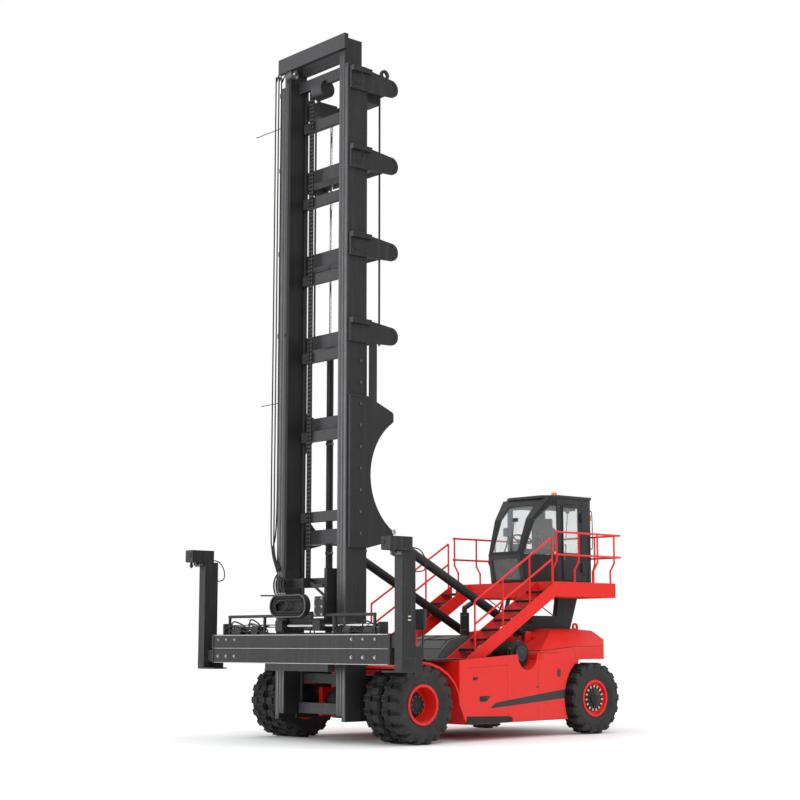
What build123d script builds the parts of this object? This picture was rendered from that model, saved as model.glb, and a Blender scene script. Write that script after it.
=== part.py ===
from build123d import *
import math
import os

# Empty container handler, millimetres. +Z is up, the machine drives towards -Y,
# its left side is +X and the origin is on the floor under the middle of its box.
# A length along the machine is given from the front axle and turned into a row
# coordinate by along(). Left-hand pieces are drawn at +X and mirrored.

# Driving sizes
front_reach = 1600.0        # foremost point, ahead of the front axle
rear_reach = 5950.0         # rearmost point, behind the front axle
wheelbase = 4913.0
running_gap = 6.0           # between pieces that pass each other
seat_gap = 0.3              # between curved pieces that seat on each other
bearing_gap = 0.05          # radial play of a shaft in its bore
overrun = 20.0              # how far a cutting tool passes its target

front_axle_y = (front_reach - rear_reach) / 2
rear_axle_y = front_axle_y + wheelbase

# Tyres and rims
tyre_radius = 685.0
tyre_width = 375.0
tread_depth = 36.0
lug_count = 18
shoulder_drop = 26.0
sidewall_radius = 500.0
bead_radius = 335.0
bead_width = 300.0
flange_height = 17.0
flange_width = 15.0
rim_wall = 28.0
disc_thickness = 30.0
tread_width_share = 0.94
groove_half_width = 8.0
pitch_angle = 360.0 / lug_count
axle_z = tyre_radius * math.cos(math.radians(pitch_angle / 4))

# Drive axle and front wheels
dual_outer_x = 1860.0
dual_spacing = 460.0
axle_arm_radius = 190.0
differential_radius = 300.0
differential_length = 420.0
spindle_radius = 95.0
front_hub_radius = 200.0
hub_drum_radius = 240.0
hub_cap_radius = 172.0
hub_cap_length = 130.0
lug_root = 30.0             # how deep a lug row reaches into the tyre
hub_inner_x = 1215.0

# Steer axle and rear wheels
steer_wheel_x = 1450.0
kingpin_x = 1080.0
kingpin_radius = 40.0
steer_beam_half = 105.0
steer_beam_height = 230.0
steer_boss_height = 240.0
knuckle_ear = 50.0
knuckle_plate = 60.0
knuckle_reach = 120.0
stub_radius = 70.0
rear_hub_radius = 130.0
rear_dish = 40.0

# Mast channels, seen from above
mast_half = 1000.0
mast_front = 910.0          # ahead of the front axle
mast_back = 445.0
mast_web = 40.0
mast_flange = 40.0
outer_flange_width = 100.0
outer_top = 12350.0
outer_bottom = 380.0
inner_flange_width = 145.0
inner_web = 30.0
inner_bottom = 480.0
inner_top = 12900.0

# Inner mast cross pieces
inner_bar_height = 190.0
inner_bar_depth = 70.0
inner_bar_first = 3950.0
inner_bar_count = 6
inner_bar_headroom = 800.0  # highest cross bar's foot to the sheave bar
top_beam_height = 290.0
top_beam_depth = 90.0
crosshead_bottom = 11760.0
crosshead_height = 300.0
crosshead_back = 10.0       # behind the front axle
crosshead_width = 400.0

# Chains, their sheave and hoses on the inner mast
chain_x = 450.0
chain_y = 600.0             # ahead of the front axle
chain_width = 46.0
chain_depth = 26.0
chain_split = 24.0          # between the two straps of a pair
chain_bottom = 2900.0
sheave_bar_drop = 430.0
sheave_bar_height = 220.0
sheave_bar_top = inner_top - sheave_bar_drop
sheave_bar_bottom = sheave_bar_top - sheave_bar_height
inner_bar_span = sheave_bar_bottom - inner_bar_headroom - inner_bar_first
inner_bar_pitch = inner_bar_span / (inner_bar_count - 1)
sheave_radius = 170.0
sheave_low_x = -280.0
sheave_high_x = 20.0
hose_x = 700.0
hose_y = 945.0              # ahead of the front axle
hose_radius = 16.0
hose_pitch = 36.0
hose_bottom = 2450.0
hose_drop = 380.0
hose_top = inner_top - hose_drop
hose_clip = 60.0

# Claws on the outer mast
claw_tops = (12290.0, 10790.0, 9140.0, 7550.0)
claw_root_height = 420.0
claw_reach = 280.0
claw_tip_radius = 165.0
claw_drop = 230.0
claw_thickness = 46.0
tie_height = 260.0
tie_depth = 280.0
tie_lap = 15.0
ledge_height = 90.0
ledge_reach = 110.0
ledge_end = 411.0           # ahead of the front axle
claw_eye_y = 47.0
claw_eye_z = 12290.0
claw_eye_radius = 100.0
claw_eye_hole = 48.0

# Big hooked side plates low on the mast
hook_top = 6156.0
hook_horn_y = 171.0
hook_horn_z = 5900.0
hook_deep_y = -378.0
hook_deep_z = 4740.0
hook_low_horn_y = 165.0
hook_low_horn_z = 3740.0
hook_bottom = 3420.0
hook_horn_height = 170.0
hook_round = 65.0
strap_front = 393.0         # strap between hook plate and lowest claw
strap_rear = 233.0

# Lift cylinders
lift_x = 485.0
lift_y = -80.0
lift_barrel_radius = 66.0
lift_barrel_wall = 14.0
lift_barrel_bottom = 1180.0
lift_barrel_top = 7320.0
lift_rod_radius = 28.0
piston_height = 200.0
lift_foot_height = 160.0
pipe_x = 950.0              # hydraulic pipe behind each outer channel
pipe_y = -100.0
pipe_radius = 19.0
pipe_clip = 46.0

# Mast feet on the axle
foot_radius = 300.0
foot_width = 100.0

# Tilt cylinders
tilt_x = 790.0
tilt_top_y = 175.0
tilt_top_z = 3730.0
tilt_low_y = 3820.0
tilt_low_z = 1900.0
tilt_barrel_radius = 85.0
tilt_rod_radius = 50.0
tilt_rod_show = 420.0
tilt_eye_radius = 72.0
tilt_eye_width = 90.0
tilt_neck_radius = 42.0
tilt_neck = 150.0
tilt_ear_x = 560.0
tilt_pedestal_top = 1720.0
tilt_pedestal_half = 150.0
tilt_pin_radius = 40.0
tilt_pin_drift = 4.0
tilt_ear_thickness = 40.0

# Carriage
carriage_plate_x = 640.0
carriage_plate = 70.0
carriage_bottom = 2010.0
carriage_top = 3060.0
carriage_front = 1050.0
carriage_rear = 700.0
carriage_bar_height = 170.0
carriage_bar_depth = 60.0
roller_radius = 130.0
roller_width = 42.0
slide_block_half = 95.0
slide_block_length = 200.0

# Cable guide hung ahead of the carriage
tray_low_x = -609.0
tray_high_x = 440.0
tray_bottom = 2190.0
tray_top = 2605.0
tray_front = 1360.0
tray_rear = 1250.0
tray_wall = 34.0
tray_back = 10.0
tray_hanger = 50.0
tray_hanger_thickness = 20.0
antler_x = -945.0
antler_z = 2600.0
antler_radius = 14.0

# Spreader
twistlock_half = 2926.5
arm_show = 366.5            # from the beam's end to the twistlocks
arm_lap = 160.0             # from the beam's end to the arm's inner end
beam_half = twistlock_half - arm_show
beam_depth = 250.0
beam_height = 250.0
beam_wall = 12.0
beam_front = 1235.0
beam_bottom = 1380.0
beam_split = 14.0
arm_inner_end = beam_half - arm_lap
wear_pad_length = 120.0
post_width = 190.0
post_depth = 300.0
post_front = 1300.0
post_bottom = 1260.0
post_foot_height = 430.0
post_foot_reach = 160.0
head_width = 230.0
head_length = 500.0
head_bottom = 3276.0
head_height = 220.0
twistlock_radius = 27.0
twistlock_neck = 60.0
twistlock_tip = 52.0
twistlock_tip_radius = 45.0
twistlock_inset = 110.0
guide_bar_radius = 32.0
guide_bar_z = 2050.0
guide_bar_half = 2250.0
guide_bracket = 40.0
side_tube_y = 1170.0        # ahead of the front axle
side_tube_z = 2228.0
side_tube_radius = 27.0
side_tube_start = 342.0
side_tube_end = 2106.0
side_tube_posts = (1000.0, 2085.0)
side_tube_post = 40.0
under_bar_half = 900.0
under_bar_bottom = 1250.0
under_bar_depth = 170.0
foot_pad_length = 520.0
foot_pad_height = 26.0

# Chassis
rail_inner = 430.0
rail_outer = 530.0
rail_bottom = 560.0
rail_top = 1250.0
rail_front = 330.0
rail_rear = 5330.0
cross_depth = 120.0
clamp_depth = 260.0

# Red side bodies with the fenders over the front wheels
body_front_half = 1900.0
body_rear_half = 1560.0
body_bottom = 300.0
body_deck = 1430.0
body_rear = 3990.0
body_nose_low = 1170.0      # foot of the slanted front edge
body_nose_height = 660.0
panel_skin = 40.0           # side panel that stands above the deck
panel_front_top = 1440.0
panel_rear_top = 1570.0
skin_rear = 4700.0          # side sheet ahead of the rear wheel
skin_thickness = 30.0
arch_radius = 800.0
arch_top = 1425.0
fender_reach = 1010.0
fender_skin = 26.0
fender_front_angle = 62.0
body_deck_break = 2200.0
bay_rear = 3650.0
bay_wall = 570.0
bay_outer = body_front_half - bay_wall
bay_floor = 1220.0
notch_radius = 300.0
deck_skin = 30.0

# Rear hood and counterweight
hood_front = 3320.0
hood_notch_half = 960.0
hood_notch_rear = 3960.0
hood_brow = 4230.0
hood_flat_front = 4360.0
hood_flat_rear = 5330.0
hood_edge = 5440.0
hood_chin = 5550.0
hood_rear = 5640.0
hood_bulge = 5670.0
hood_top = 2030.0
hood_edge_top = 1988.0
hood_chin_top = 1790.0
hood_crease = 1555.0
hood_bottom = 1430.0
hood_crease_half = 1640.0
hood_edge_half = 1080.0
hood_flat_half = 700.0
hood_corner_half = 1180.0
hood_rear_half = 560.0
hood_side_rear = 5450.0
hood_round = 70.0
hood_corner_round = 150.0
eye_x = 950.0               # lifting eyes on the hood
eye_y = 5090.0
eye_z = 2065.0
eye_radius = 75.0
eye_hole_radius = 40.0
eye_thickness = 36.0
weight_half = 530.0
weight_front = 5340.0
weight_bottom = 520.0
hitch_low = 700.0
hitch_plate = 40.0
hitch_gap = 100.0
hitch_half = 90.0
hitch_hole_radius = 26.0

# Engine, column and platform
engine_half = 380.0
engine_front = 2250.0
engine_rear = 3850.0
engine_bottom = 760.0
engine_top = 1700.0
engine_foot = 150.0
column_half = 620.0
column_leg = 110.0
control_box_width = 300.0   # black boxes ahead of the left leg
control_box_front = 4230.0
control_box_top = 2280.0
filter_box_front = 3970.0
filter_box_top = 2130.0
filter_box_bottom = 1800.0
cover_inset = 1200.0        # cover ahead of the engine
cover_half = body_front_half - cover_inset
cover_front = 1560.0
cover_brow = 1680.0
cover_brow_top = 1620.0
cover_crest = 1900.0
cover_crest_top = 1800.0
cover_rear = 2370.0
cover_rear_top = 1880.0
platform_half = 1350.0
platform_length = 1880.0
rail_overhang = 70.0
platform_rear = rear_reach - rail_overhang
platform_front = platform_rear - platform_length
column_top_inset = 344.0     # ahead of the platform's rear edge
column_top_length = 566.0
column_foot_lead = 510.0    # behind the front of the hood's flat top
column_foot_inset = 18.0    # ahead of the rear of the hood's flat top
column_top_rear = platform_rear - column_top_inset
column_top_front = column_top_rear - column_top_length
column_foot_rear = hood_flat_rear - column_foot_inset
column_foot_front = hood_flat_front + column_foot_lead
platform_bottom = 2640.0
platform_top = 2930.0
platform_skin = 20.0

# Cab
cab_half = 700.0
cab_nose_half = 430.0
cab_rear = platform_rear
cab_side_length = 980.0
cab_shoulder = cab_rear - cab_side_length
cab_height = 1720.0
cab_wall = 45.0
glass_thickness = 6.0
cab_foot_length = 1710.0
cab_foot_front = cab_rear - cab_foot_length
cab_nose_length = 1830.0
cab_nose = cab_rear - cab_nose_length
cab_nose_rise = 560.0
cab_brow_length = 1550.0
cab_brow = cab_rear - cab_brow_length
cab_brow_rise = 1290.0
cab_roof_length = 1180.0
cab_roof_front = cab_rear - cab_roof_length
roof_thickness = 55.0
roof_overhang = 35.0
door_inset = 280.0
door_length = 600.0
door_rear = cab_rear - door_inset
door_front = door_rear - door_length
door_bottom_rise = 60.0
door_top_rise = 1600.0
door_gap = 8.0
hinge_radius = 18.0
hinge_pin_radius = 8.0
hinge_height = 90.0
pillar = 70.0
sill_rise = 620.0
seat_half = 240.0
seat_inset = 480.0
seat_length = 500.0
seat_rear = cab_rear - seat_inset
seat_front = seat_rear - seat_length
seat_rise = 420.0
seat_thickness = 130.0
seat_back_height = 620.0
seat_back_thickness = 120.0
console_half = 150.0
console_inset = 1320.0
console_length = 140.0
console_rear = cab_rear - console_inset
console_front = console_rear - console_length
console_rise = 760.0

# Stairs and rails
stair_outer = 1470.0
stair_width = 530.0
stair_run = 2440.0
stair_foot_y = platform_front - stair_run
stair_band = 280.0
stair_plate = 16.0
tread_count = 7
tread_depth_y = 240.0
tread_thickness = 40.0
rail_tube_radius = 20.0
rail_post_radius = 18.0
rail_rear_radius = 19.0
rail_bend_radius = 22.0
rail_height = 960.0
rail_mid_height = 520.0
stair_rail_height = 900.0
stair_rail_low_height = 480.0
rail_out = 1440.0
rear_post_x = 760.0
rail_post_shares = (0.02, 0.36, 0.66, 0.93)
stair_post_shares = (0.10, 0.40, 0.70, 0.96)

# Small fittings
stack_x = -300.0
stack_y = 3240.0
stack_radius = 90.0
stack_top = 2340.0
outlet_radius = 50.0
outlet_rise = 90.0
outlet_reach = 200.0
cleaner_inset = 1050.0
cleaner_x = body_front_half - cleaner_inset
cleaner_length = 620.0
cleaner_radius = 240.0
cleaner_y = 2970.0
cleaner_z = 1540.0
cleaner_cap = 40.0
cleaner_cap_radius = 150.0
canister_inset = 1200.0
canister_x = body_front_half - canister_inset
canister_length = 380.0
canister_radius = 95.0
canister_y = 2480.0
canister_z = 1610.0
mirror_inset = 300.0
mirror_x = body_front_half - mirror_inset
mirror_y = 300.0
mirror_width = 240.0
mirror_height = 360.0
mirror_depth = 60.0
mirror_bottom = 1980.0
mirror_post_radius = 16.0
beacon_radius = 60.0
beacon_height = 90.0
lamp_depth = 90.0
work_lamp_half = 60.0
work_lamp_depth = 55.0
work_lamp_x = 620.0
work_lamp_rise = 1360.0
indicator_inset = 440.0
indicator_x = body_front_half - indicator_inset
indicator_half = 60.0
indicator_depth = 80.0
indicator_height = 60.0
grab_x = 620.0              # bent grab tube at the cab's right front corner
grab_top_lead = 1140.0      # leads are ahead of the cab's rear, rises above the platform
grab_top_rise = 1560.0
grab_brow_lead = 1491.0
grab_brow_rise = 1022.0
grab_nose_lead = 1639.0
grab_nose_rise = 435.0
grab_foot_lead = 1426.0
grab_foot_rise = 115.0
grab_radius = 16.0
grab_bend_radius = 17.0


def along(distance):
    """Row coordinate of a point that many millimetres behind the front axle."""
    return front_axle_y + distance


def slab(x, y, z):
    """Box between the low and high values of each axis."""
    size = [high - low for low, high in (x, y, z)]
    centre = [(high + low) / 2 for low, high in (x, y, z)]
    return Pos(*centre) * Box(*size)


def side_plate(outline, x_low, x_high):
    """Plate with a side outline of (Y, Z) points, between two X values."""
    face = Plane.YZ.offset(x_low) * make_face(Polyline(*outline, close=True))
    return extrude(face, amount=x_high - x_low, dir=(1, 0, 0))


def plan_plate(outline, z_low, z_high):
    """Plate with a plan outline of (X, Y) points, between two heights."""
    face = Plane.XY.offset(z_low) * make_face(Polyline(*outline, close=True))
    return extrude(face, amount=z_high - z_low, dir=(0, 0, 1))


def turned(outline):
    """Solid of revolution about X from (X, radius) points."""
    return revolve(make_face(Polyline(*outline, close=True)), Axis.X)


def rod(start, end, radius):
    """Round bar from one point to the other."""
    way = Vector(*end) - Vector(*start)
    plane = Plane(origin=start, z_dir=way)
    return plane * Cylinder(radius, way.length, align=(Align.CENTER, Align.CENTER, Align.MIN))


def cross_rod(x_low, x_high, y, z, radius):
    """Round bar along X."""
    return rod((x_low, y, z), (x_high, y, z), radius)


def both_sides(shape):
    """The left-hand shape and its mirror image."""
    return Part() + [shape, mirror(shape, about=Plane.YZ)]


def right_of(shape):
    """The right-hand twin of a left-hand shape."""
    return mirror(shape, about=Plane.YZ)


def lug_ring(x_low, x_high, turn):
    """Ring of square-cut lugs between two X values, turned by some degrees."""
    base = tyre_radius - tread_depth
    points = []
    for index in range(lug_count):
        middle = math.radians(-90.0 + turn + index * pitch_angle)
        quarter = math.radians(pitch_angle / 4)
        for angle, radius in (
            (middle - quarter, base),
            (middle - quarter, tyre_radius),
            (middle + quarter, tyre_radius),
            (middle + quarter, base),
        ):
            points.append((radius * math.cos(angle), radius * math.sin(angle)))
    return side_plate(points, x_low, x_high)


def tyre():
    """Tyre about the X axis at the origin, with two staggered rows of lugs."""
    half = tyre_width / 2
    tread_half = half * tread_width_share
    base = tyre_radius - tread_depth
    bead_half = bead_width / 2 - seat_gap
    outline = [
        (-bead_half, bead_radius + seat_gap),
        (-bead_half, bead_radius + flange_height + seat_gap),
        (-half, sidewall_radius),
        (-half, base - shoulder_drop),
        (-tread_half, base),
        (tread_half, base),
        (half, base - shoulder_drop),
        (half, sidewall_radius),
        (bead_half, bead_radius + flange_height + seat_gap),
        (bead_half, bead_radius + seat_gap),
    ]
    core = cross_rod(-half, half, 0, 0, base - lug_root)
    left_lugs = lug_ring(-tread_half, -groove_half_width, 0) - core
    right_lugs = lug_ring(groove_half_width, tread_half, pitch_angle / 2) - core
    return turned(outline) + left_lugs + right_lugs


def rim(disc_x, disc_bore):
    """Rim about the X axis at the origin with a disc at one X value."""
    half = bead_width / 2
    end = half + flange_width
    inside = bead_radius - rim_wall
    barrel = [
        (-end, inside),
        (-end, bead_radius + flange_height),
        (-half, bead_radius + flange_height),
        (-half, bead_radius),
        (half, bead_radius),
        (half, bead_radius + flange_height),
        (end, bead_radius + flange_height),
        (end, inside),
    ]
    web = [
        (disc_x, disc_bore),
        (disc_x, inside + rim_wall / 2),
        (disc_x + disc_thickness, inside + rim_wall / 2),
        (disc_x + disc_thickness, disc_bore),
    ]
    return turned(barrel) + turned(web)


def front_wheel():
    """Left-hand twin wheel: its tyres, rims and hub."""
    inner_x = dual_outer_x - dual_spacing
    rim_end = bead_width / 2 + flange_width
    outer = Pos(dual_outer_x, front_axle_y, axle_z)
    inner = Pos(inner_x, front_axle_y, axle_z)
    tyres = Part() + [outer * tyre(), inner * tyre()]
    inner_rim = inner * rim(rim_end - disc_thickness, front_hub_radius)
    outer_rim = outer * rim(-rim_end, hub_cap_radius)
    disc_face = inner_x + rim_end
    drum_end = dual_outer_x - rim_end
    cap_end = drum_end + disc_thickness + hub_cap_length
    blind = drum_end + disc_thickness
    hub = turned([
        (hub_inner_x, spindle_radius + bearing_gap),
        (hub_inner_x, front_hub_radius),
        (disc_face, front_hub_radius),
        (disc_face, hub_drum_radius),
        (drum_end, hub_drum_radius),
        (drum_end, hub_cap_radius),
        (cap_end, hub_cap_radius),
        (cap_end, 0),
        (blind, 0),
        (blind, spindle_radius + bearing_gap),
    ])
    return tyres, inner_rim + outer_rim + Pos(0, front_axle_y, axle_z) * hub


def drive_axle():
    """Axle housing with its differential bulge and the two wheel spindles."""
    arm_end = hub_inner_x - running_gap
    spindle_end = dual_outer_x - bead_width / 2 - flange_width
    bulge = differential_length / 2
    outline = [
        (-spindle_end, 0),
        (-spindle_end, spindle_radius),
        (-arm_end, spindle_radius),
        (-arm_end, axle_arm_radius),
        (-bulge - (differential_radius - axle_arm_radius), axle_arm_radius),
        (-bulge, differential_radius),
        (bulge, differential_radius),
        (bulge + (differential_radius - axle_arm_radius), axle_arm_radius),
        (arm_end, axle_arm_radius),
        (arm_end, spindle_radius),
        (spindle_end, spindle_radius),
        (spindle_end, 0),
    ]
    return Pos(0, front_axle_y, axle_z) * turned(outline)


def steer_axle():
    """Rear axle beam with a bored boss at each kingpin."""
    beam = slab(
        (-kingpin_x, kingpin_x),
        (rear_axle_y - steer_beam_half, rear_axle_y + steer_beam_half),
        (axle_z - steer_beam_height / 2, axle_z + steer_beam_height / 2),
    )
    low = axle_z - steer_boss_height / 2
    high = axle_z + steer_boss_height / 2
    place = (kingpin_x, rear_axle_y)
    boss = rod((*place, low), (*place, high), steer_beam_half)
    bore = rod((*place, low - overrun), (*place, high + overrun), kingpin_radius + bearing_gap)
    return beam + both_sides(boss) - both_sides(bore)


def knuckle():
    """Left steering knuckle: two ears and a pin around the beam's boss, and the stub."""
    boss_half = steer_boss_height / 2
    ear_low = axle_z - boss_half - running_gap - knuckle_ear
    ear_high = axle_z + boss_half + running_gap + knuckle_ear
    plate_x = kingpin_x + knuckle_reach
    y_span = (rear_axle_y - steer_beam_half, rear_axle_y + steer_beam_half)
    place = (kingpin_x, rear_axle_y)
    pieces = [slab((plate_x, plate_x + knuckle_plate), y_span, (ear_low, ear_high))]
    for low in (ear_low, ear_high - knuckle_ear):
        pieces.append(slab((kingpin_x, plate_x), y_span, (low, low + knuckle_ear)))
        pieces.append(rod((*place, low), (*place, low + knuckle_ear), steer_beam_half))
    pieces.append(rod((*place, ear_low), (*place, ear_high), kingpin_radius))
    stub_end = steer_wheel_x + bead_width / 2 - rear_dish
    pieces.append(cross_rod(plate_x, stub_end, rear_axle_y, axle_z, stub_radius))
    return Part() + pieces


def rear_wheel():
    """Left rear wheel: its tyre, rim and hub."""
    place = Pos(steer_wheel_x, rear_axle_y, axle_z)
    disc_x = bead_width / 2 - rear_dish - disc_thickness
    rim_shape = place * rim(disc_x, rear_hub_radius)
    stub_end = steer_wheel_x + bead_width / 2 - rear_dish
    hub_start = kingpin_x + knuckle_reach + knuckle_plate + running_gap
    cap_end = stub_end + rear_dish * 2
    hub = turned([
        (hub_start, stub_radius + bearing_gap),
        (hub_start, rear_hub_radius),
        (cap_end, rear_hub_radius),
        (cap_end, 0),
        (stub_end + seat_gap, 0),
        (stub_end + seat_gap, stub_radius + bearing_gap),
    ])
    return place * tyre(), rim_shape + Pos(0, rear_axle_y, axle_z) * hub


def outer_rail():
    """Left outer mast channel, open towards the middle."""
    front = along(-mast_front)
    back = along(-mast_back)
    x_in = mast_half - outer_flange_width
    web = slab((mast_half - mast_web, mast_half), (front, back), (outer_bottom, outer_top))
    z = (outer_bottom, outer_top)
    fore = slab((x_in, mast_half - mast_web), (front, front + mast_flange), z)
    aft = slab((x_in, mast_half - mast_web), (back - mast_flange, back), z)
    foot = rod(
        (mast_half - foot_width, front_axle_y, axle_z),
        (mast_half, front_axle_y, axle_z),
        foot_radius,
    )
    shoe = slab(
        (mast_half - mast_web, mast_half),
        (back, front_axle_y),
        (axle_z - foot_radius, axle_z + foot_radius),
    )
    bore = rod(
        (mast_half - foot_width - overrun, front_axle_y, axle_z),
        (mast_half + overrun, front_axle_y, axle_z),
        axle_arm_radius + bearing_gap,
    )
    channel_clear = slab(
        (mast_half - foot_width - overrun, mast_half - mast_web),
        (front, back + running_gap),
        (0, axle_z + foot_radius + overrun),
    )
    return (web + (foot - channel_clear) + shoe - bore) + fore + aft


def mast_ties():
    """Cross boxes that join the two outer channels behind the inner mast."""
    front = along(-mast_back) + running_gap
    span = (front, front + tie_depth)
    heights = [top - (claw_root_height + tie_height) / 2 for top in claw_tops[1:]]
    heights += [hook_horn_z - tie_height, hook_bottom + tie_height / 2]
    pieces = []
    for low in heights:
        pieces.append(slab((-mast_half, mast_half), span, (low, low + tie_height)))
        pieces.append(tie_feet(low, tie_height))
    foot_low = lift_barrel_bottom - lift_foot_height
    foot_span = (front, along(lift_y) + lift_barrel_radius)
    pieces.append(slab((-mast_half, mast_half), foot_span, (foot_low, lift_barrel_bottom)))
    pieces.append(tie_feet(foot_low, lift_foot_height))
    return Part() + pieces


def tie_feet(low, height):
    """Pads that join one cross box to the flanges of both channels."""
    back = along(-mast_back)
    pad = slab(
        (mast_half - outer_flange_width, mast_half),
        (back, back + tie_lap),
        (low, low + height),
    )
    return both_sides(pad)


def claw(top):
    """Left claw plate: a root on the channel and a tapering, rounded nose."""
    root_y = along(-mast_front + mast_flange)
    mid_y = along(-mast_back)
    tip_y = along(claw_reach - claw_tip_radius)
    tip_z = top - claw_drop
    outline = [
        (root_y, top),
        (mid_y, top),
        (tip_y, tip_z + claw_tip_radius),
        (tip_y, tip_z - claw_tip_radius),
        (mid_y, top - claw_root_height),
        (root_y, top - claw_root_height),
    ]
    x_low = mast_half
    x_high = mast_half + claw_thickness
    nose = cross_rod(x_low, x_high, tip_y, tip_z, claw_tip_radius)
    ledge = slab(
        (mast_half, mast_half + ledge_reach), (root_y, along(-ledge_end)), (top - ledge_height, top)
    )
    return side_plate(outline, x_low, x_high) + nose + ledge


def claw_eye():
    """Left lifting eye on the top claw."""
    x_high = mast_half + claw_thickness
    place = (along(-claw_eye_y), claw_eye_z)
    ring = cross_rod(mast_half, x_high, *place, claw_eye_radius)
    hole = cross_rod(mast_half - overrun, x_high + overrun, *place, claw_eye_hole)
    return ring - hole


def claw_tie(top):
    """Round tube between the noses of a pair of claws."""
    tip_y = along(claw_reach - claw_tip_radius)
    tip_z = top - claw_drop
    radius = claw_tip_radius / 3
    reach = mast_half + claw_thickness
    return cross_rod(-reach, reach, tip_y + claw_tip_radius / 2, tip_z, radius)


def hook_plate():
    """Left hooked plate: two horns with a round bite between them."""
    root = along(-mast_front + mast_flange)
    horn = (along(hook_horn_y), hook_horn_z)
    deep = (along(hook_deep_y), hook_deep_z)
    low_horn = (along(hook_low_horn_y), hook_low_horn_z)
    back = along(-mast_back)
    edges = [
        Line((root, hook_bottom), (root, hook_top)),
        Line((root, hook_top), (back, hook_top)),
        Line((back, hook_top), horn),
        Line(horn, (horn[0], horn[1] - hook_horn_height)),
        ThreePointArc((horn[0], horn[1] - hook_horn_height), deep, low_horn),
        Line(low_horn, (low_horn[0], low_horn[1] - hook_horn_height)),
        Line((low_horn[0], low_horn[1] - hook_horn_height), (back, hook_bottom)),
        Line((back, hook_bottom), (root, hook_bottom)),
    ]
    face = Plane.YZ.offset(mast_half) * make_face(edges)
    plate = extrude(face, amount=claw_thickness, dir=(1, 0, 0))
    corners = [edge for edge in plate.edges().filter_by(Axis.X) if edge.center().Y > along(0)]
    plate = fillet(corners, hook_round)
    strap = slab(
        (mast_half, mast_half + claw_thickness),
        (along(-strap_front), along(-strap_rear)),
        (hook_horn_z, claw_tops[-1] - claw_root_height),
    )
    ear = slab(
        (tilt_ear_x, tilt_ear_x + tilt_ear_thickness),
        (along(-mast_back) + running_gap + tie_depth, along(tilt_top_y) + tilt_eye_radius),
        (hook_bottom + tie_height / 2, tilt_top_z + tilt_eye_radius),
    )
    pin = cross_rod(
        tilt_ear_x, mast_half + claw_thickness, along(tilt_top_y), tilt_top_z, tilt_pin_radius
    )
    return plate + strap + ear + pin


def lift_barrel():
    """Left lift cylinder barrel, hollow above its foot."""
    place = (lift_x, along(lift_y))
    shell = rod((*place, lift_barrel_bottom), (*place, lift_barrel_top), lift_barrel_radius)
    start = lift_barrel_bottom + lift_barrel_wall
    bore_radius = lift_barrel_radius - lift_barrel_wall
    hollow = rod((*place, start), (*place, lift_barrel_top - lift_barrel_wall), bore_radius)
    neck_top = lift_barrel_top + overrun
    neck = rod((*place, start), (*place, neck_top), lift_rod_radius + bearing_gap)
    return shell - hollow - neck


def lift_rod():
    """Left lift rod with its piston, up to the crosshead of the inner mast."""
    place = (lift_x, along(lift_y))
    low = lift_barrel_bottom + lift_barrel_wall + running_gap
    piston_radius = lift_barrel_radius - lift_barrel_wall - running_gap
    piston = rod((*place, low), (*place, low + piston_height), piston_radius)
    return piston + rod((*place, low), (*place, crosshead_bottom), lift_rod_radius)


def lift_pipe():
    """Left hydraulic pipe behind the outer channel, clipped to the cross boxes."""
    box_back = along(-mast_back) + running_gap + tie_depth
    low = claw_tops[-1] - claw_root_height
    place = (pipe_x, along(pipe_y))
    pipe = rod((*place, low), (*place, claw_tops[0] - claw_drop), pipe_radius)
    clips = []
    for top in claw_tops[1:]:
        middle = top - (claw_root_height + tie_height) / 2 + tie_height / 2
        clips.append(slab(
            (pipe_x - pipe_clip / 2, pipe_x + pipe_clip / 2),
            (box_back, along(pipe_y)),
            (middle - pipe_clip / 2, middle + pipe_clip / 2),
        ))
    return Part() + [pipe] + clips


def inner_rail():
    """Left inner mast beam: an I section beside the outer channel's flanges."""
    x_high = mast_half - outer_flange_width - running_gap
    x_low = x_high - inner_flange_width
    middle = (x_high + x_low) / 2
    front = along(-mast_front)
    back = along(-mast_back)
    z = (inner_bottom, inner_top)
    web = slab((middle - inner_web / 2, middle + inner_web / 2), (front, back), z)
    fore = slab((x_low, x_high), (front, front + mast_flange), z)
    aft_z = (inner_bottom, outer_top)
    aft = slab((x_low, x_high), (back - mast_flange, back), aft_z)
    return web + fore + aft


def inner_bars():
    """Cross bars between the inner beams, and the beam across their heads."""
    x_edge = mast_half - outer_flange_width - running_gap - inner_flange_width
    back = along(-mast_back)
    pieces = []
    for index in range(inner_bar_count):
        low = inner_bar_first + index * inner_bar_pitch
        y = (back - mast_flange - inner_bar_depth, back)
        pieces.append(slab((-x_edge, x_edge), y, (low, low + inner_bar_height)))
    top_y = (along(-mast_front) - top_beam_depth, along(-mast_front))
    top_z = (inner_top - top_beam_height, inner_top)
    pieces.append(slab((-mast_half, mast_half), top_y, top_z))
    rear_y = (back - mast_flange - inner_bar_depth, back - mast_flange)
    rear_z = (inner_top - top_beam_height, inner_top)
    web_x = x_edge + (inner_flange_width - inner_web) / 2
    pieces.append(slab((-web_x, web_x), rear_y, rear_z))
    low_y = (back - mast_flange - inner_bar_depth, back)
    pieces.append(slab((-x_edge, x_edge), low_y, (inner_bottom, inner_bottom + inner_bar_height)))
    sheave_y = along(-chain_y)
    sheave_bar = slab(
        (-web_x, web_x),
        (sheave_y - inner_bar_depth / 2, sheave_y + inner_bar_depth / 2),
        (sheave_bar_bottom, sheave_bar_top),
    )
    drum_z = sheave_bar_bottom - sheave_radius / 2
    drum = cross_rod(sheave_low_x, sheave_high_x, sheave_y, drum_z, sheave_radius)
    pieces.append(sheave_bar + drum)
    return Compound(children=pieces)


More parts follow.
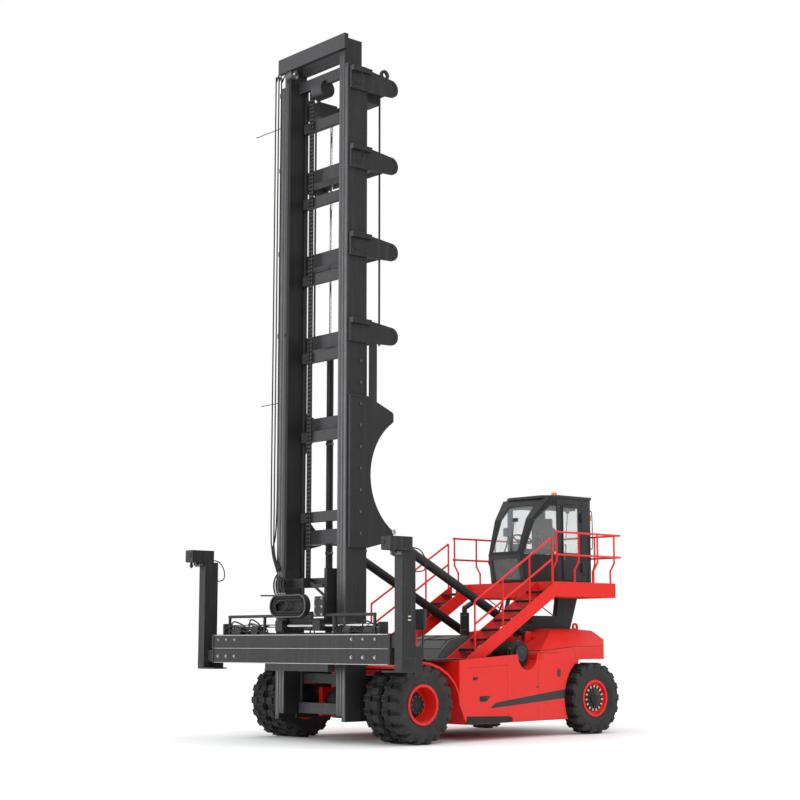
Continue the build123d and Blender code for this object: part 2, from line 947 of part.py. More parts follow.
def lift_chain():
    """Left pair of chain straps hanging from the sheave bar."""
    y = along(-chain_y)
    pieces = []
    for side in (-1, 1):
        middle = chain_x + side * (chain_width + chain_split) / 2
        pieces.append(slab(
            (middle - chain_width / 2, middle + chain_width / 2),
            (y - chain_depth / 2, y + chain_depth / 2),
            (chain_bottom, sheave_bar_bottom),
        ))
    return Part() + pieces


def mast_hoses():
    """Pair of hoses along the right inner beam, in a clip at each end."""
    y = along(-hose_y)
    rail_x = mast_half - outer_flange_width - running_gap - inner_flange_width
    face = along(-mast_front)
    pieces = []
    for side in (-1, 1):
        x = -hose_x + side * hose_pitch / 2
        pieces.append(rod((x, y, hose_bottom), (x, y, hose_top), hose_radius))
    for middle in (hose_bottom + hose_clip, (hose_bottom + hose_top) / 2, hose_top - hose_clip):
        pieces.append(slab(
            (-rail_x - hose_clip, -hose_x + hose_pitch),
            (y, face),
            (middle - hose_clip / 2, middle + hose_clip / 2),
        ))
    return Part() + pieces


def crosshead():
    """Left bracket of the inner mast that the lift rod pushes on."""
    x_low = lift_x - lift_rod_radius * 2
    y = (along(-mast_back), along(crosshead_back))
    z = (crosshead_bottom, crosshead_bottom + crosshead_height)
    return slab((x_low, x_low + crosshead_width), y, z)


def carriage_frame():
    """Carriage: two side plates, cross bars, rollers and the side-shift bearings."""
    front = along(-carriage_front)
    mast_face = along(-mast_front)
    half = carriage_plate_x
    plate = slab(
        (half - carriage_plate, half),
        (front, along(-carriage_rear)),
        (carriage_bottom, carriage_top),
    )
    inner_x = mast_half - outer_flange_width - running_gap - inner_flange_width
    web_face = inner_x + inner_flange_width / 2 - inner_web / 2
    rollers = []
    roller_y = mast_face + mast_flange + running_gap + roller_radius
    for z in (carriage_bottom + roller_radius, carriage_top - roller_radius):
        rollers.append(cross_rod(half, web_face - seat_gap, roller_y, z, roller_radius / 3))
        start = web_face - seat_gap - roller_width
        rollers.append(cross_rod(start, web_face - seat_gap, roller_y, z, roller_radius))
    bars = []
    for low in (carriage_bottom, carriage_top - carriage_bar_height * 2):
        bars.append(slab(
            (carriage_plate - half, half - carriage_plate),
            (front, front + carriage_bar_depth),
            (low, low + carriage_bar_height),
        ))
    block_y = along(-beam_front + beam_depth / 2)
    block_x = (half - slide_block_length, half)
    block = slab(
        block_x,
        (block_y - slide_block_half, block_y + slide_block_half),
        (guide_bar_z - slide_block_half, guide_bar_z + slide_block_half),
    )
    lug = slab(
        block_x,
        (block_y, along(-carriage_rear)),
        (guide_bar_z - slide_block_half, carriage_bottom + carriage_bar_height),
    )
    keep_out = slab(
        (-beam_half, beam_half),
        (block_y - beam_depth, along(mast_front)),
        (0, beam_bottom + beam_height * 2 + beam_split + running_gap),
    )
    bore = cross_rod(
        block_x[0] - overrun, block_x[1] + overrun, block_y, guide_bar_z,
        guide_bar_radius + bearing_gap,
    )
    side = Part() + [plate, block, lug] + rollers
    return (both_sides(side) + bars) - both_sides(bore) - keep_out


def round_ended(inset, y):
    """Round-ended block of the cable guide, moved inwards by an inset."""
    radius = (tray_top - tray_bottom) / 2 - inset
    middle = (tray_top + tray_bottom) / 2
    half = (tray_top - tray_bottom) / 2
    ends = (tray_low_x + half, tray_high_x - half)
    block = slab(ends, y, (middle - radius, middle + radius))
    for x in ends:
        block += rod((x, y[0], middle), (x, y[1], middle), radius)
    return block


def cable_tray():
    """Round-ended cable guide with a closed back, hung from the carriage's upper bar."""
    y = (along(-tray_front), along(-tray_rear))
    tray = round_ended(0, y) - round_ended(tray_wall, (y[0] - overrun, y[1] - tray_back))
    bar_low = carriage_top - carriage_bar_height * 2
    bar_top = bar_low + carriage_bar_height
    half = (tray_top - tray_bottom) / 2
    for x in (tray_low_x + half, tray_high_x - half):
        span = (x - tray_hanger / 2, x + tray_hanger / 2)
        tray += slab(span, (y[1] - tray_hanger_thickness, y[1]), (tray_top - tray_back, bar_top))
        tray += slab(
            span, (y[1] - tray_hanger_thickness, along(-carriage_front)), (bar_low, bar_top)
        )
    middle_y = (y[0] + y[1]) / 2
    start = (tray_low_x + half, middle_y, tray_top - tray_wall / 2)
    return tray + rod(start, (antler_x, middle_y, antler_z), antler_radius)


def beam_box(low, open_side):
    """One hollow box of the spreader beam, open at the end that its arm leaves."""
    y = (along(-beam_front), along(-beam_front + beam_depth))
    shell = slab((-beam_half, beam_half), y, (low, low + beam_height))
    cut_x = (-beam_half + beam_wall, beam_half + overrun)
    if open_side < 0:
        cut_x = (-beam_half - overrun, beam_half - beam_wall)
    hollow = slab(
        cut_x,
        (y[0] + beam_wall, y[1] - beam_wall),
        (low + beam_wall, low + beam_height - beam_wall),
    )
    return shell - hollow


def spreader_beam():
    """Two stacked boxes joined by a thin spacer."""
    upper_low = beam_bottom + beam_height + beam_split
    spacer = slab(
        (-beam_half, beam_half),
        (along(-beam_front + beam_wall * 2), along(-beam_front + beam_depth - beam_wall * 2)),
        (beam_bottom + beam_height, upper_low),
    )
    return beam_box(beam_bottom, -1) + spacer + beam_box(upper_low, 1)


def guide_bar():
    """Bright side-shift bar on brackets above the beam."""
    y = along(-beam_front + beam_depth / 2)
    bar = cross_rod(-guide_bar_half, guide_bar_half, y, guide_bar_z, guide_bar_radius)
    top = beam_bottom + beam_height * 2 + beam_split
    bracket = slab(
        (guide_bar_half - guide_bracket, guide_bar_half),
        (y - slide_block_half, y + slide_block_half),
        (top, guide_bar_z + slide_block_half / 2),
    )
    return bar + both_sides(bracket)


def spreader_fittings():
    """Left cable tube on its posts above the beam, and half of the bar under the beam."""
    y = along(-side_tube_y)
    top = beam_bottom + beam_height * 2 + beam_split
    pieces = [cross_rod(side_tube_start, side_tube_end, y, side_tube_z, side_tube_radius)]
    for x in side_tube_posts:
        pieces.append(slab(
            (x - side_tube_post / 2, x + side_tube_post / 2),
            (y - side_tube_post / 2, y + side_tube_post / 2),
            (top, side_tube_z),
        ))
    pieces.append(slab(
        (0, under_bar_half),
        (along(-beam_front) + running_gap, along(-beam_front) + under_bar_depth),
        (under_bar_bottom, beam_bottom),
    ))
    return Part() + pieces


def spreader_arm(low):
    """Left telescopic arm inside the box whose floor is at this height, with its post."""
    play = beam_wall + running_gap
    post_x = (twistlock_half - post_width, twistlock_half)
    tube = slab(
        (-arm_inner_end, post_x[0]),
        (along(-beam_front) + play, along(-beam_front + beam_depth) - play),
        (low + play, low + beam_height - play),
    )
    pad_play = beam_wall + seat_gap
    wear_pad = slab(
        (-arm_inner_end, -arm_inner_end + wear_pad_length),
        (along(-beam_front) + pad_play, along(-beam_front + beam_depth) - pad_play),
        (low + pad_play, low + beam_height - pad_play),
    )
    post = slab(
        post_x, (along(-post_front), along(-post_front + post_depth)), (post_bottom, head_bottom)
    )
    foot = slab(
        post_x,
        (along(-post_front + post_depth), along(-post_front + post_depth + post_foot_reach)),
        (post_bottom, post_bottom + post_foot_height),
    )
    pad = slab(
        (post_x[1] - foot_pad_length, post_x[1]),
        (along(-post_front), along(-post_front + post_depth)),
        (post_bottom, post_bottom + foot_pad_height),
    )
    return tube + wear_pad + post + foot + pad


def spreader_head():
    """Left head with the twistlock under its front."""
    x_mid = twistlock_half - post_width / 2 + (head_width - post_width) / 2
    x = (x_mid - head_width / 2, x_mid + head_width / 2)
    y = (along(-front_reach), along(-front_reach + head_length))
    body = slab(x, y, (head_bottom, head_bottom + head_height))
    lock_y = along(-front_reach + twistlock_inset)
    neck_low = head_bottom - twistlock_neck
    neck = rod((twistlock_half, lock_y, neck_low), (twistlock_half, lock_y, head_bottom), twistlock_radius)
    tip = Pos(twistlock_half, lock_y, neck_low) * Cone(
        twistlock_radius / 2, twistlock_tip_radius, twistlock_tip,
        align=(Align.CENTER, Align.CENTER, Align.MAX),
    )
    return body + neck + tip


def tilt_cylinder():
    """Left tilt cylinder: its barrel on the frame pin and its rod to the mast pin."""
    low = Vector(tilt_x, along(tilt_low_y), tilt_low_z)
    high = Vector(tilt_x, along(tilt_top_y), tilt_top_z)
    way = (high - low).normalized()
    barrel_start = low + way * tilt_neck
    barrel_end = high - way * tilt_rod_show
    half = tilt_eye_width / 2
    neck = rod(tuple(low), tuple(barrel_start), tilt_neck_radius)
    barrel = rod(tuple(barrel_start), tuple(barrel_end), tilt_barrel_radius)
    hollow_start = barrel_end - way * (tilt_rod_show * 2)
    bore_radius = tilt_rod_radius + bearing_gap
    hollow = rod(tuple(hollow_start), tuple(barrel_end + way * overrun), bore_radius)
    low_eye = cross_rod(tilt_x - half, tilt_x + half, low.Y, low.Z, tilt_eye_radius)
    low_hole = cross_rod(
        tilt_x - half - overrun, tilt_x + half + overrun, low.Y, low.Z,
        tilt_pin_radius + bearing_gap,
    )
    barrel = barrel + neck + low_eye - low_hole - hollow
    rod_start = barrel_end - way * tilt_rod_show
    bar = rod(tuple(rod_start), tuple(high), tilt_rod_radius)
    top_eye = cross_rod(tilt_x - half, tilt_x + half, high.Y, high.Z, tilt_eye_radius)
    top_hole = cross_rod(
        tilt_x - half - overrun, tilt_x + half + overrun, high.Y, high.Z,
        tilt_pin_radius + tilt_pin_drift,
    )
    return barrel, bar + top_eye - top_hole


def tilt_bracket():
    """Left body bracket: a pedestal, two ears and the pin of the tilt cylinder."""
    half = tilt_eye_width / 2
    y = (along(tilt_low_y) - tilt_eye_radius, along(tilt_low_y) + tilt_eye_radius)
    pieces = [slab(
        (tilt_x - tilt_pedestal_half, tilt_x + tilt_pedestal_half),
        (y[0] - tilt_ear_thickness, along(hood_notch_rear) - running_gap),
        (body_deck, tilt_pedestal_top),
    )]
    for x_low in (tilt_x - half - running_gap - tilt_ear_thickness, tilt_x + half + running_gap):
        pieces.append(slab(
            (x_low, x_low + tilt_ear_thickness), y,
            (tilt_pedestal_top, tilt_low_z + tilt_eye_radius),
        ))
    reach = half + running_gap + tilt_ear_thickness
    pieces.append(cross_rod(
        tilt_x - reach, tilt_x + reach, along(tilt_low_y), tilt_low_z, tilt_pin_radius
    ))
    return Part() + pieces


def chassis_frame():
    """Two long box rails, cross members and the clamps around the drive axle."""
    z = (rail_bottom, rail_top)
    rail = slab((rail_inner, rail_outer), (along(rail_front), along(rail_rear)), z)
    clamp = slab(
        (rail_inner, rail_outer),
        (along(-clamp_depth), along(rail_front)),
        (axle_z - clamp_depth, axle_z + clamp_depth),
    )
    bore = cross_rod(
        rail_inner - overrun, rail_outer + overrun, front_axle_y, axle_z,
        axle_arm_radius + seat_gap,
    )
    pieces = [both_sides(rail + clamp - bore)]
    for start in (rail_front, engine_front - cross_depth * 2, engine_rear + cross_depth):
        pieces.append(slab((-rail_inner, rail_inner), (along(start), along(start + cross_depth)), z))
    for start in (engine_front + engine_foot, engine_rear - engine_foot * 2):
        pieces.append(both_sides(slab(
            (engine_half, rail_inner),
            (along(start), along(start + engine_foot)),
            (engine_bottom + engine_foot, engine_bottom + engine_foot * 2),
        )))
    beam_clear = steer_beam_half + seat_gap
    axle_slot = slab(
        (-rail_outer - overrun, rail_outer + overrun),
        (rear_axle_y - beam_clear, rear_axle_y + beam_clear),
        (0, axle_z + steer_beam_height / 2),
    )
    return Part() + pieces - axle_slot


def body_half_at(distance):
    """Half width of the tapering side body, so far behind the front axle."""
    share = (distance - fender_reach) / (body_rear - fender_reach)
    return body_front_half + (body_rear_half - body_front_half) * share


def body_strip(start, stop, thickness, z):
    """Upright sheet along the tapering side between two distances."""
    return plan_plate(
        [
            (body_half_at(start) - thickness, along(start)),
            (body_half_at(start), along(start)),
            (body_half_at(stop), along(stop)),
            (body_half_at(stop) - thickness, along(stop)),
        ],
        *z,
    )


def side_body():
    """Left side body: a tank block with a side panel above the deck and a rear sheet."""
    start = fender_reach - fender_skin
    front = along(start)
    rear = along(body_rear)
    block = side_plate(
        [
            (front, body_deck),
            (front, body_nose_height),
            (along(body_nose_low), body_bottom),
            (rear, body_bottom),
            (rear, body_deck),
        ],
        rail_outer,
        body_front_half,
    )
    taper = plan_plate(
        [
            (body_half_at(start), front),
            (body_front_half + overrun, front),
            (body_front_half + overrun, rear),
            (body_half_at(body_rear), rear),
        ],
        body_bottom - overrun,
        body_deck + overrun,
    )
    bay = slab(
        (rail_outer - overrun, bay_outer),
        (along(engine_front), along(bay_rear)),
        (bay_floor, body_deck + overrun),
    )
    panel = body_strip(start, hood_front, panel_skin, (body_deck, panel_rear_top))
    panel = panel & side_plate(
        [
            (front, body_deck),
            (along(hood_front), body_deck),
            (along(hood_front), panel_rear_top),
            (front, panel_front_top),
        ],
        rail_outer,
        body_front_half + overrun,
    )
    notch = cross_rod(
        bay_outer - overrun, body_front_half + overrun, along(cleaner_y), cleaner_z, notch_radius
    )
    sheet = body_strip(
        body_rear - skin_thickness, skin_rear, skin_thickness, (body_bottom, body_deck)
    )
    arch = cross_rod(rail_outer, body_front_half, rear_axle_y, axle_z, arch_radius)
    arch_room = slab(
        (rail_outer, body_front_half),
        (rear_axle_y - arch_radius, rear_axle_y + arch_radius),
        (0, arch_top),
    )
    return block - taper - bay + panel - notch + (sheet - (arch & arch_room)) + tilt_bracket()


def fender():
    """Left fender: a curved sheet over the twin wheels, down to the side body."""
    centre_y = front_axle_y
    outer = fender_reach
    start = math.radians(180.0 - fender_front_angle)
    steps = 8
    sweep = math.radians(180.0 - fender_front_angle)
    top_share = (body_deck - axle_z - fender_skin) / fender_reach
    inside = []
    outside = []
    for index in range(steps + 1):
        angle = start - sweep * index / steps
        inside.append((
            centre_y + (outer - fender_skin) * math.cos(angle),
            axle_z + (outer - fender_skin) * top_share * math.sin(angle),
        ))
        outside.append((
            centre_y + outer * math.cos(angle),
            axle_z + (outer * top_share + fender_skin) * math.sin(angle),
        ))
    sheet = side_plate(inside + outside[::-1], mast_half + fender_skin * 2, body_front_half)
    return sheet


def deck():
    """Black non-slip plates on the side bodies and between the frame rails."""
    z = (body_deck, body_deck + deck_skin)
    inner = mast_half + fender_skin * 2
    outer = body_half_at(body_deck_break) - panel_skin - running_gap
    side = slab((inner, outer), (along(rail_front), along(body_deck_break)), z)
    middle = slab(
        (-inner, inner),
        (along(rail_front + cross_depth * 2), along(engine_front - cross_depth)),
        z,
    )
    legs = slab(
        (rail_inner, rail_outer),
        (along(rail_front + cross_depth * 2), along(engine_front - cross_depth)),
        (rail_top, body_deck),
    )
    return middle + both_sides(side) + both_sides(legs)


def half_outline(points):
    """Closed outline from its right half, mirrored to the other side."""
    return points + [(-x, y) for x, y in points[::-1]]


def lifting_eye():
    """Left lifting eye on the hood."""
    y = along(eye_y)
    x = (eye_x - eye_thickness / 2, eye_x + eye_thickness / 2)
    foot = slab(x, (y - eye_radius, y + eye_radius), (hood_edge_top - eye_radius, eye_z))
    ring = cross_rod(*x, y, eye_z, eye_radius)
    return foot + ring - cross_rod(x[0] - overrun, x[1] + overrun, y, eye_z, eye_hole_radius)


def hood_form():
    """Hood where its side, cross and plan outlines meet."""
    low = hood_bottom - hood_round * 2
    side = [
        (along(hood_front), low),
        (along(hood_front), hood_crease),
        (along(hood_brow), hood_edge_top),
        (along(hood_flat_front), hood_top),
        (along(hood_flat_rear), hood_top),
        (along(hood_edge), hood_edge_top),
        (along(hood_chin), hood_chin_top),
        (along(hood_rear), low),
    ]
    cross = half_outline([
        (hood_flat_half, hood_top),
        (hood_edge_half, hood_edge_top),
        (hood_crease_half, hood_crease),
        (hood_crease_half, low),
    ])
    start = hood_front - overrun
    plan = half_outline([
        (body_half_at(start), along(start)),
        (body_half_at(hood_side_rear), along(hood_side_rear)),
        (hood_corner_half, along(hood_rear)),
        (hood_rear_half, along(hood_bulge)),
    ])
    side_face = Plane.YZ.offset(-body_front_half) * make_face(
        FilletPolyline(*side, radius=hood_round, close=True)
    )
    cross_face = Plane.XZ.offset(-along(hood_bulge) - overrun) * make_face(
        FilletPolyline(*cross, radius=hood_round, close=True)
    )
    plan_face = Plane.XY.offset(hood_bottom) * make_face(
        FilletPolyline(*plan, radius=hood_corner_round, close=True)
    )
    length = hood_bulge - hood_front + overrun * 2
    form = extrude(side_face, amount=body_front_half * 2, dir=(1, 0, 0))
    form = form & extrude(cross_face, amount=length, dir=(0, -1, 0))
    return form & extrude(plan_face, amount=hood_top - hood_bottom + overrun, dir=(0, 0, 1))


def rear_hood():
    """Red hood with lifting eyes, the counterweight under it and the tow hitch."""
    rear = along(hood_rear)
    notch = slab(
        (-hood_notch_half, hood_notch_half),
        (along(hood_front) - overrun, along(hood_notch_rear)),
        (hood_bottom - overrun, hood_top + overrun),
    )
    weight = slab(
        (-weight_half, weight_half), (along(weight_front), rear), (weight_bottom, hood_bottom)
    )
    hitch_span = (rear, rear + hitch_half * 2)
    hitch = []
    for low in (hitch_low, hitch_low + hitch_gap + hitch_plate):
        hitch.append(slab((-hitch_half, hitch_half), hitch_span, (low, low + hitch_plate)))
    hole_y = rear + hitch_half
    hole = rod(
        (0, hole_y, hitch_low - overrun),
        (0, hole_y, hitch_low + hitch_gap + hitch_plate * 2 + overrun),
        hitch_hole_radius,
    )
    return hood_form() - notch + both_sides(lifting_eye()) + weight + (Part() + hitch - hole)


def cab_column():
    """Two leaning legs between the hood and the platform, and the boxes ahead of the left."""
    outline = [
        (along(column_foot_front), hood_top),
        (along(column_foot_rear), hood_top),
        (along(column_top_rear), platform_bottom),
        (along(column_top_front), platform_bottom),
    ]
    leg = side_plate(outline, column_half - column_leg, column_half)
    x = (column_half - control_box_width, column_half)
    control_box = slab(
        x, (along(control_box_front), along(column_foot_front) + column_leg),
        (hood_top, control_box_top),
    )
    filter_box = slab(
        x, (along(filter_box_front), along(control_box_front) + column_leg),
        (filter_box_bottom, filter_box_top),
    )
    return both_sides(leg) + (control_box + filter_box - hood_form())


def engine_cover():
    """Sloping cover ahead of the engine."""
    low = body_deck + deck_skin
    return side_plate(
        [
            (along(cover_front), low),
            (along(cover_brow), cover_brow_top),
            (along(cover_crest), cover_crest_top),
            (along(cover_rear), cover_rear_top),
            (along(cover_rear), engine_top + seat_gap),
            (along(engine_front) - seat_gap, engine_top + seat_gap),
            (along(engine_front) - seat_gap, low),
        ],
        -cover_half,
        cover_half,
    )


def platform():
    """Tray under the cab: a floor with deep edge plates."""
    y = (along(platform_front), along(platform_rear))
    block = slab((-platform_half, platform_half), y, (platform_bottom, platform_top))
    inner_half = platform_half - platform_skin
    hollow = slab(
        (-inner_half, inner_half),
        (y[0] + platform_skin, y[1] - platform_skin),
        (platform_bottom - overrun, platform_top - platform_skin),
    )
    beams = slab(
        (-column_half, column_half),
        (along(column_top_front), along(column_top_rear)),
        (platform_bottom, platform_top),
    )
    return block - hollow + beams


def cab_outline(inset):
    """Side outline of the cab, moved inwards by an inset."""
    base = platform_top + inset
    return [
        (along(cab_foot_front) + inset, base),
        (along(cab_nose) + inset, platform_top + cab_nose_rise),
        (along(cab_brow) + inset, platform_top + cab_brow_rise),
        (along(cab_roof_front) + inset, platform_top + cab_height - inset),
        (along(cab_rear) - inset, platform_top + cab_height - inset),
        (along(cab_rear) - inset, base),
    ]


def cab_plan(inset, z_low, z_high):
    """Plan outline of the cab, narrow at the nose, as a tall block."""
    return plan_plate(
        [
            (-(cab_nose_half - inset), along(cab_nose) - overrun),
            (cab_nose_half - inset, along(cab_nose) - overrun),
            (cab_half - inset, along(cab_shoulder)),
            (cab_half - inset, along(cab_rear) + overrun),
            (-(cab_half - inset), along(cab_rear) + overrun),
            (-(cab_half - inset), along(cab_shoulder)),
        ],
        z_low,
        z_high,
    )


def door_zone(grow):
    """Space of the left door, grown on each edge by a gap."""
    return slab(
        (cab_half - cab_wall - running_gap, cab_half + overrun),
        (along(door_front) - grow, along(door_rear) + grow),
        (platform_top + door_bottom_rise - grow, platform_top + door_top_rise + grow),
    )


def window_cuts():
    """Window openings: side panes, windscreen, lower pane, rear pane and door pane."""
    sill = platform_top + sill_rise
    head = platform_top + cab_height - pillar * 2
    side_front = side_plate(
        [
            (along(cab_nose) + pillar, sill - pillar),
            (along(cab_brow) + pillar, platform_top + cab_brow_rise),
            (along(cab_roof_front) + pillar / 2, head),
            (along(cab_shoulder), head),
            (along(cab_shoulder), sill - pillar),
        ],
        -cab_half * 2,
        cab_half * 2,
    )
    screen_half = cab_nose_half - pillar
    screen = slab(
        (-screen_half, screen_half),
        (along(cab_nose) - overrun, along(cab_roof_front)),
        (platform_top + cab_nose_rise + pillar, head),
    )
    low_pane = slab(
        (-screen_half, screen_half),
        (along(cab_nose) - overrun, along(cab_foot_front) + pillar * 2),
        (platform_top + pillar, platform_top + cab_nose_rise - pillar),
    )
    rear = slab(
        (-cab_half + pillar * 2, cab_half - pillar * 2),
        (along(cab_rear) - pillar * 2, along(cab_rear) + overrun),
        (sill, head),
    )
    right_rear = slab(
        (-cab_half - overrun, -cab_half + cab_wall + overrun),
        (along(door_front), along(door_rear)),
        (sill, head),
    )
    return [side_front, screen, low_pane, rear, right_rear]


def cab_block(inset):
    """Full form of the cab, moved inwards by an inset."""
    plan = cab_plan(inset, platform_top, platform_top + cab_height)
    return side_plate(cab_outline(inset), -cab_half, cab_half) & plan


def cab_solid():
    """Hollow cab shell before its openings are cut."""
    return cab_block(0) - cab_block(cab_wall)


def hinge_spans():
    """Heights of the two door hinges, as (low, high) of the door's knuckle."""
    middle = (door_bottom_rise + door_top_rise) / 2
    reach = (door_top_rise - door_bottom_rise) / 3
    return [
        (platform_top + middle + side * reach - hinge_height / 2,
         platform_top + middle + side * reach + hinge_height / 2)
        for side in (-1, 1)
    ]


def hinge_axis():
    """Place of the door's hinge line, as (X, Y)."""
    return cab_half + hinge_radius, along(door_rear) + door_gap / 2


def cab_shell():
    """Cab shell with its windows and door opening, and the door's hinge pins."""
    shell = cab_solid()
    for cut in window_cuts():
        shell = shell - cut
    shell = shell - door_zone(door_gap)
    x, y = hinge_axis()
    for low, high in hinge_spans():
        for start in (low - hinge_height / 2, high + seat_gap):
            stop = start + hinge_height / 2 - seat_gap
            shell += rod((x, y, start), (x, y, stop), hinge_radius)
            shell += slab((cab_half - cab_wall, x), (y + door_gap / 2, y + hinge_radius * 3), (start, stop))
        shell += rod((x, y, low - hinge_height / 2), (x, y, high + hinge_height / 2), hinge_pin_radius)
    return shell


def cab_door():
    """Left door: its part of the cab wall with a window and an outside hinge knuckle."""
    leaf = (cab_solid() & door_zone(0)) - door_pane()
    x, y = hinge_axis()
    for low, high in hinge_spans():
        leaf += rod((x, y, low), (x, y, high), hinge_radius)
        leaf += slab((cab_half, x), (y - hinge_radius * 3, y), (low, high))
        leaf -= rod(
            (x, y, low - overrun), (x, y, high + overrun), hinge_pin_radius + bearing_gap
        )
    return leaf


def glass_skin():
    """Thin skin in the middle of the cab wall, for the panes."""
    near = (cab_wall - glass_thickness) / 2
    return cab_block(near) - cab_block(near + glass_thickness)


def cab_glass():
    """Fixed panes in the cab's window openings."""
    skin = glass_skin()
    return Part() + [skin & cut for cut in window_cuts()]


def door_pane():
    """Space of the door's window."""
    return slab(
        (0, cab_half + overrun * 2),
        (along(door_front) + pillar, along(door_rear) - pillar),
        (platform_top + sill_rise, platform_top + door_top_rise - pillar),
    )


def cab_roof():
    """Roof cap with a small overhang."""
    z = (platform_top + cab_height, platform_top + cab_height + roof_thickness)
    return plan_plate(
        [
            (-(cab_nose_half + roof_overhang), along(cab_roof_front) - roof_overhang),
            (cab_nose_half + roof_overhang, along(cab_roof_front) - roof_overhang),
            (cab_half + roof_overhang, along(cab_shoulder)),
            (cab_half + roof_overhang, along(cab_rear)),
            (-(cab_half + roof_overhang), along(cab_rear)),
            (-(cab_half + roof_overhang), along(cab_shoulder)),
        ],
        *z,
    )


def seat():
    """Cushion and back of the driver's seat with their pedestal."""
    floor = platform_top + cab_wall
    cushion = slab(
        (-seat_half, seat_half),
        (along(seat_front), along(seat_rear)),
        (floor + seat_rise, floor + seat_rise + seat_thickness),
    )
    back = slab(
        (-seat_half, seat_half),
        (along(seat_rear) - seat_back_thickness, along(seat_rear)),
        (floor + seat_rise + seat_thickness, floor + seat_rise + seat_thickness + seat_back_height),
    )
    base = slab(
        (-seat_half / 2, seat_half / 2),
        (along(seat_front) + seat_thickness, along(seat_rear) - seat_thickness),
        (floor, floor + seat_rise),
    )
    return cushion, back, base


def console():
    """Steering console on the cab floor."""
    floor = platform_top + cab_wall
    return side_plate(
        [
            (along(console_front), floor),
            (along(console_rear), floor),
            (along(console_rear), floor + console_rise),
            (along(console_front) + lamp_depth / 2, floor + console_rise),
        ],
        -console_half,
        console_half,
    )


def stair_points():
    """Foot and head of the stair's top line, as (Y, Z)."""
    foot = (along(stair_foot_y), body_deck + deck_skin)
    head = (along(platform_front), platform_top)
    return foot, head


def stairs():
    """Left stair: two stringers and its treads."""
    foot, head = stair_points()
    slope = (head[1] - foot[1]) / (head[0] - foot[0])
    run = stair_band / slope
    outline = [foot, (foot[0] + run, foot[1]), (head[0], head[1] - stair_band), head]
    inner = stair_outer - stair_width
    pieces = [
        side_plate(outline, stair_outer - stair_plate, stair_outer),
        side_plate(outline, inner, inner + stair_plate),
    ]
    rise = (head[1] - foot[1]) / (tread_count + 1)
    for index in range(1, tread_count + 1):
        top = foot[1] + rise * index
        nose = foot[0] + (top - foot[1]) / slope
        pieces.append(slab(
            (inner + stair_plate, stair_outer - stair_plate),
            (nose, nose + tread_depth_y),
            (top - tread_thickness, top),
        ))
    return Part() + pieces


def stair_rails():
    """Left stair's handrail: two sloping tubes on posts along the outer stringer."""
    foot, head = stair_points()
    slope = (head[1] - foot[1]) / (head[0] - foot[0])
    x = stair_outer - stair_plate / 2
    pieces = []
    tops = []
    for share in stair_post_shares:
        y = foot[0] + (head[0] - foot[0]) * share
        base = foot[1] + (y - foot[0]) * slope
        tops.append((x, y, base + stair_rail_height))
        pieces.append(rod((x, y, base), (x, y, base + stair_rail_height), rail_post_radius))
    pieces.append(rod(tops[0], tops[-1], rail_tube_radius))
    low = [(px, py, pz - stair_rail_height + stair_rail_low_height) for px, py, pz in tops]
    pieces.append(rod(low[0], low[-1], rail_tube_radius))
    return Part() + pieces


def leaning_post(foot, lean):
    """Rail post that stands on a point, leans outwards by (x, y) and ends upright."""
    x, y, z = foot
    knee = z + rail_height / 4
    elbow = knee + rail_height / 6
    bent = (x + lean[0], y + lean[1])
    bends = [(x, y, knee), (*bent, elbow)]
    pieces = [rod(foot, bends[0], rail_post_radius), rod(*bends, rail_post_radius)]
    pieces.append(rod(bends[1], (*bent, z + rail_height), rail_post_radius))
    for place in bends:
        pieces.append(Pos(*place) * Sphere(rail_bend_radius))
    return Part() + pieces


def platform_rails():
    """Left half of the platform's guard rails, with posts that lean outwards."""
    y_front = along(platform_front) + rail_tube_radius
    y_rear = along(rear_reach) - rail_rear_radius
    foot_x = platform_half - platform_skin
    pieces = []
    for share in rail_post_shares:
        y = y_front + (along(platform_rear) - y_front) * share
        pieces.append(leaning_post((foot_x, y, platform_top), (rail_out - foot_x, 0)))
    rear_y = along(platform_rear) - platform_skin
    pieces.append(leaning_post((rear_post_x, rear_y, platform_top), (0, y_rear - rear_y)))
    for height in (rail_height, rail_mid_height):
        z = platform_top + height
        corner = rail_out + rail_tube_radius / 2
        pieces.append(rod((rail_out, y_front, z), (rail_out, y_rear, z), rail_tube_radius))
        pieces.append(rod((corner, y_rear, z), (-rail_post_radius, y_rear, z), rail_rear_radius))
    return Part() + pieces


def engine():
    """Engine and gearbox as one plain block between the frame rails."""
    return slab(
        (-engine_half, engine_half),
        (along(engine_front), along(engine_rear)),
        (engine_bottom, engine_top),
    )


def exhaust_stack():
    """Upright silencer beside the engine with a bent outlet."""
    y = along(stack_y)
    bend = (stack_x, y, stack_top + outlet_rise)
    tip = (stack_x, y + outlet_reach, stack_top + outlet_rise + outlet_reach / 2)
    silencer = rod((stack_x, y, engine_top), (stack_x, y, stack_top), stack_radius)
    neck = rod((stack_x, y, stack_top), bend, outlet_radius)
    return silencer + neck + Pos(*bend) * Sphere(outlet_radius) + rod(bend, tip, outlet_radius)


def air_cleaner():
    """Drum air cleaner across the left engine bay, on a cradle, with a cap on its end."""
    end = cleaner_x + cleaner_length
    y = along(cleaner_y)
    drum = cross_rod(cleaner_x, end, y, cleaner_z, cleaner_radius)
    cap = cross_rod(end, end + cleaner_cap, y, cleaner_z, cleaner_cap_radius)
    cradle = slab(
        (cleaner_x + cleaner_cap, cleaner_x + cleaner_cap + cleaner_radius),
        (y - cleaner_radius / 2, y + cleaner_radius / 2),
        (bay_floor, cleaner_z),
    )
    return drum + cap + cradle


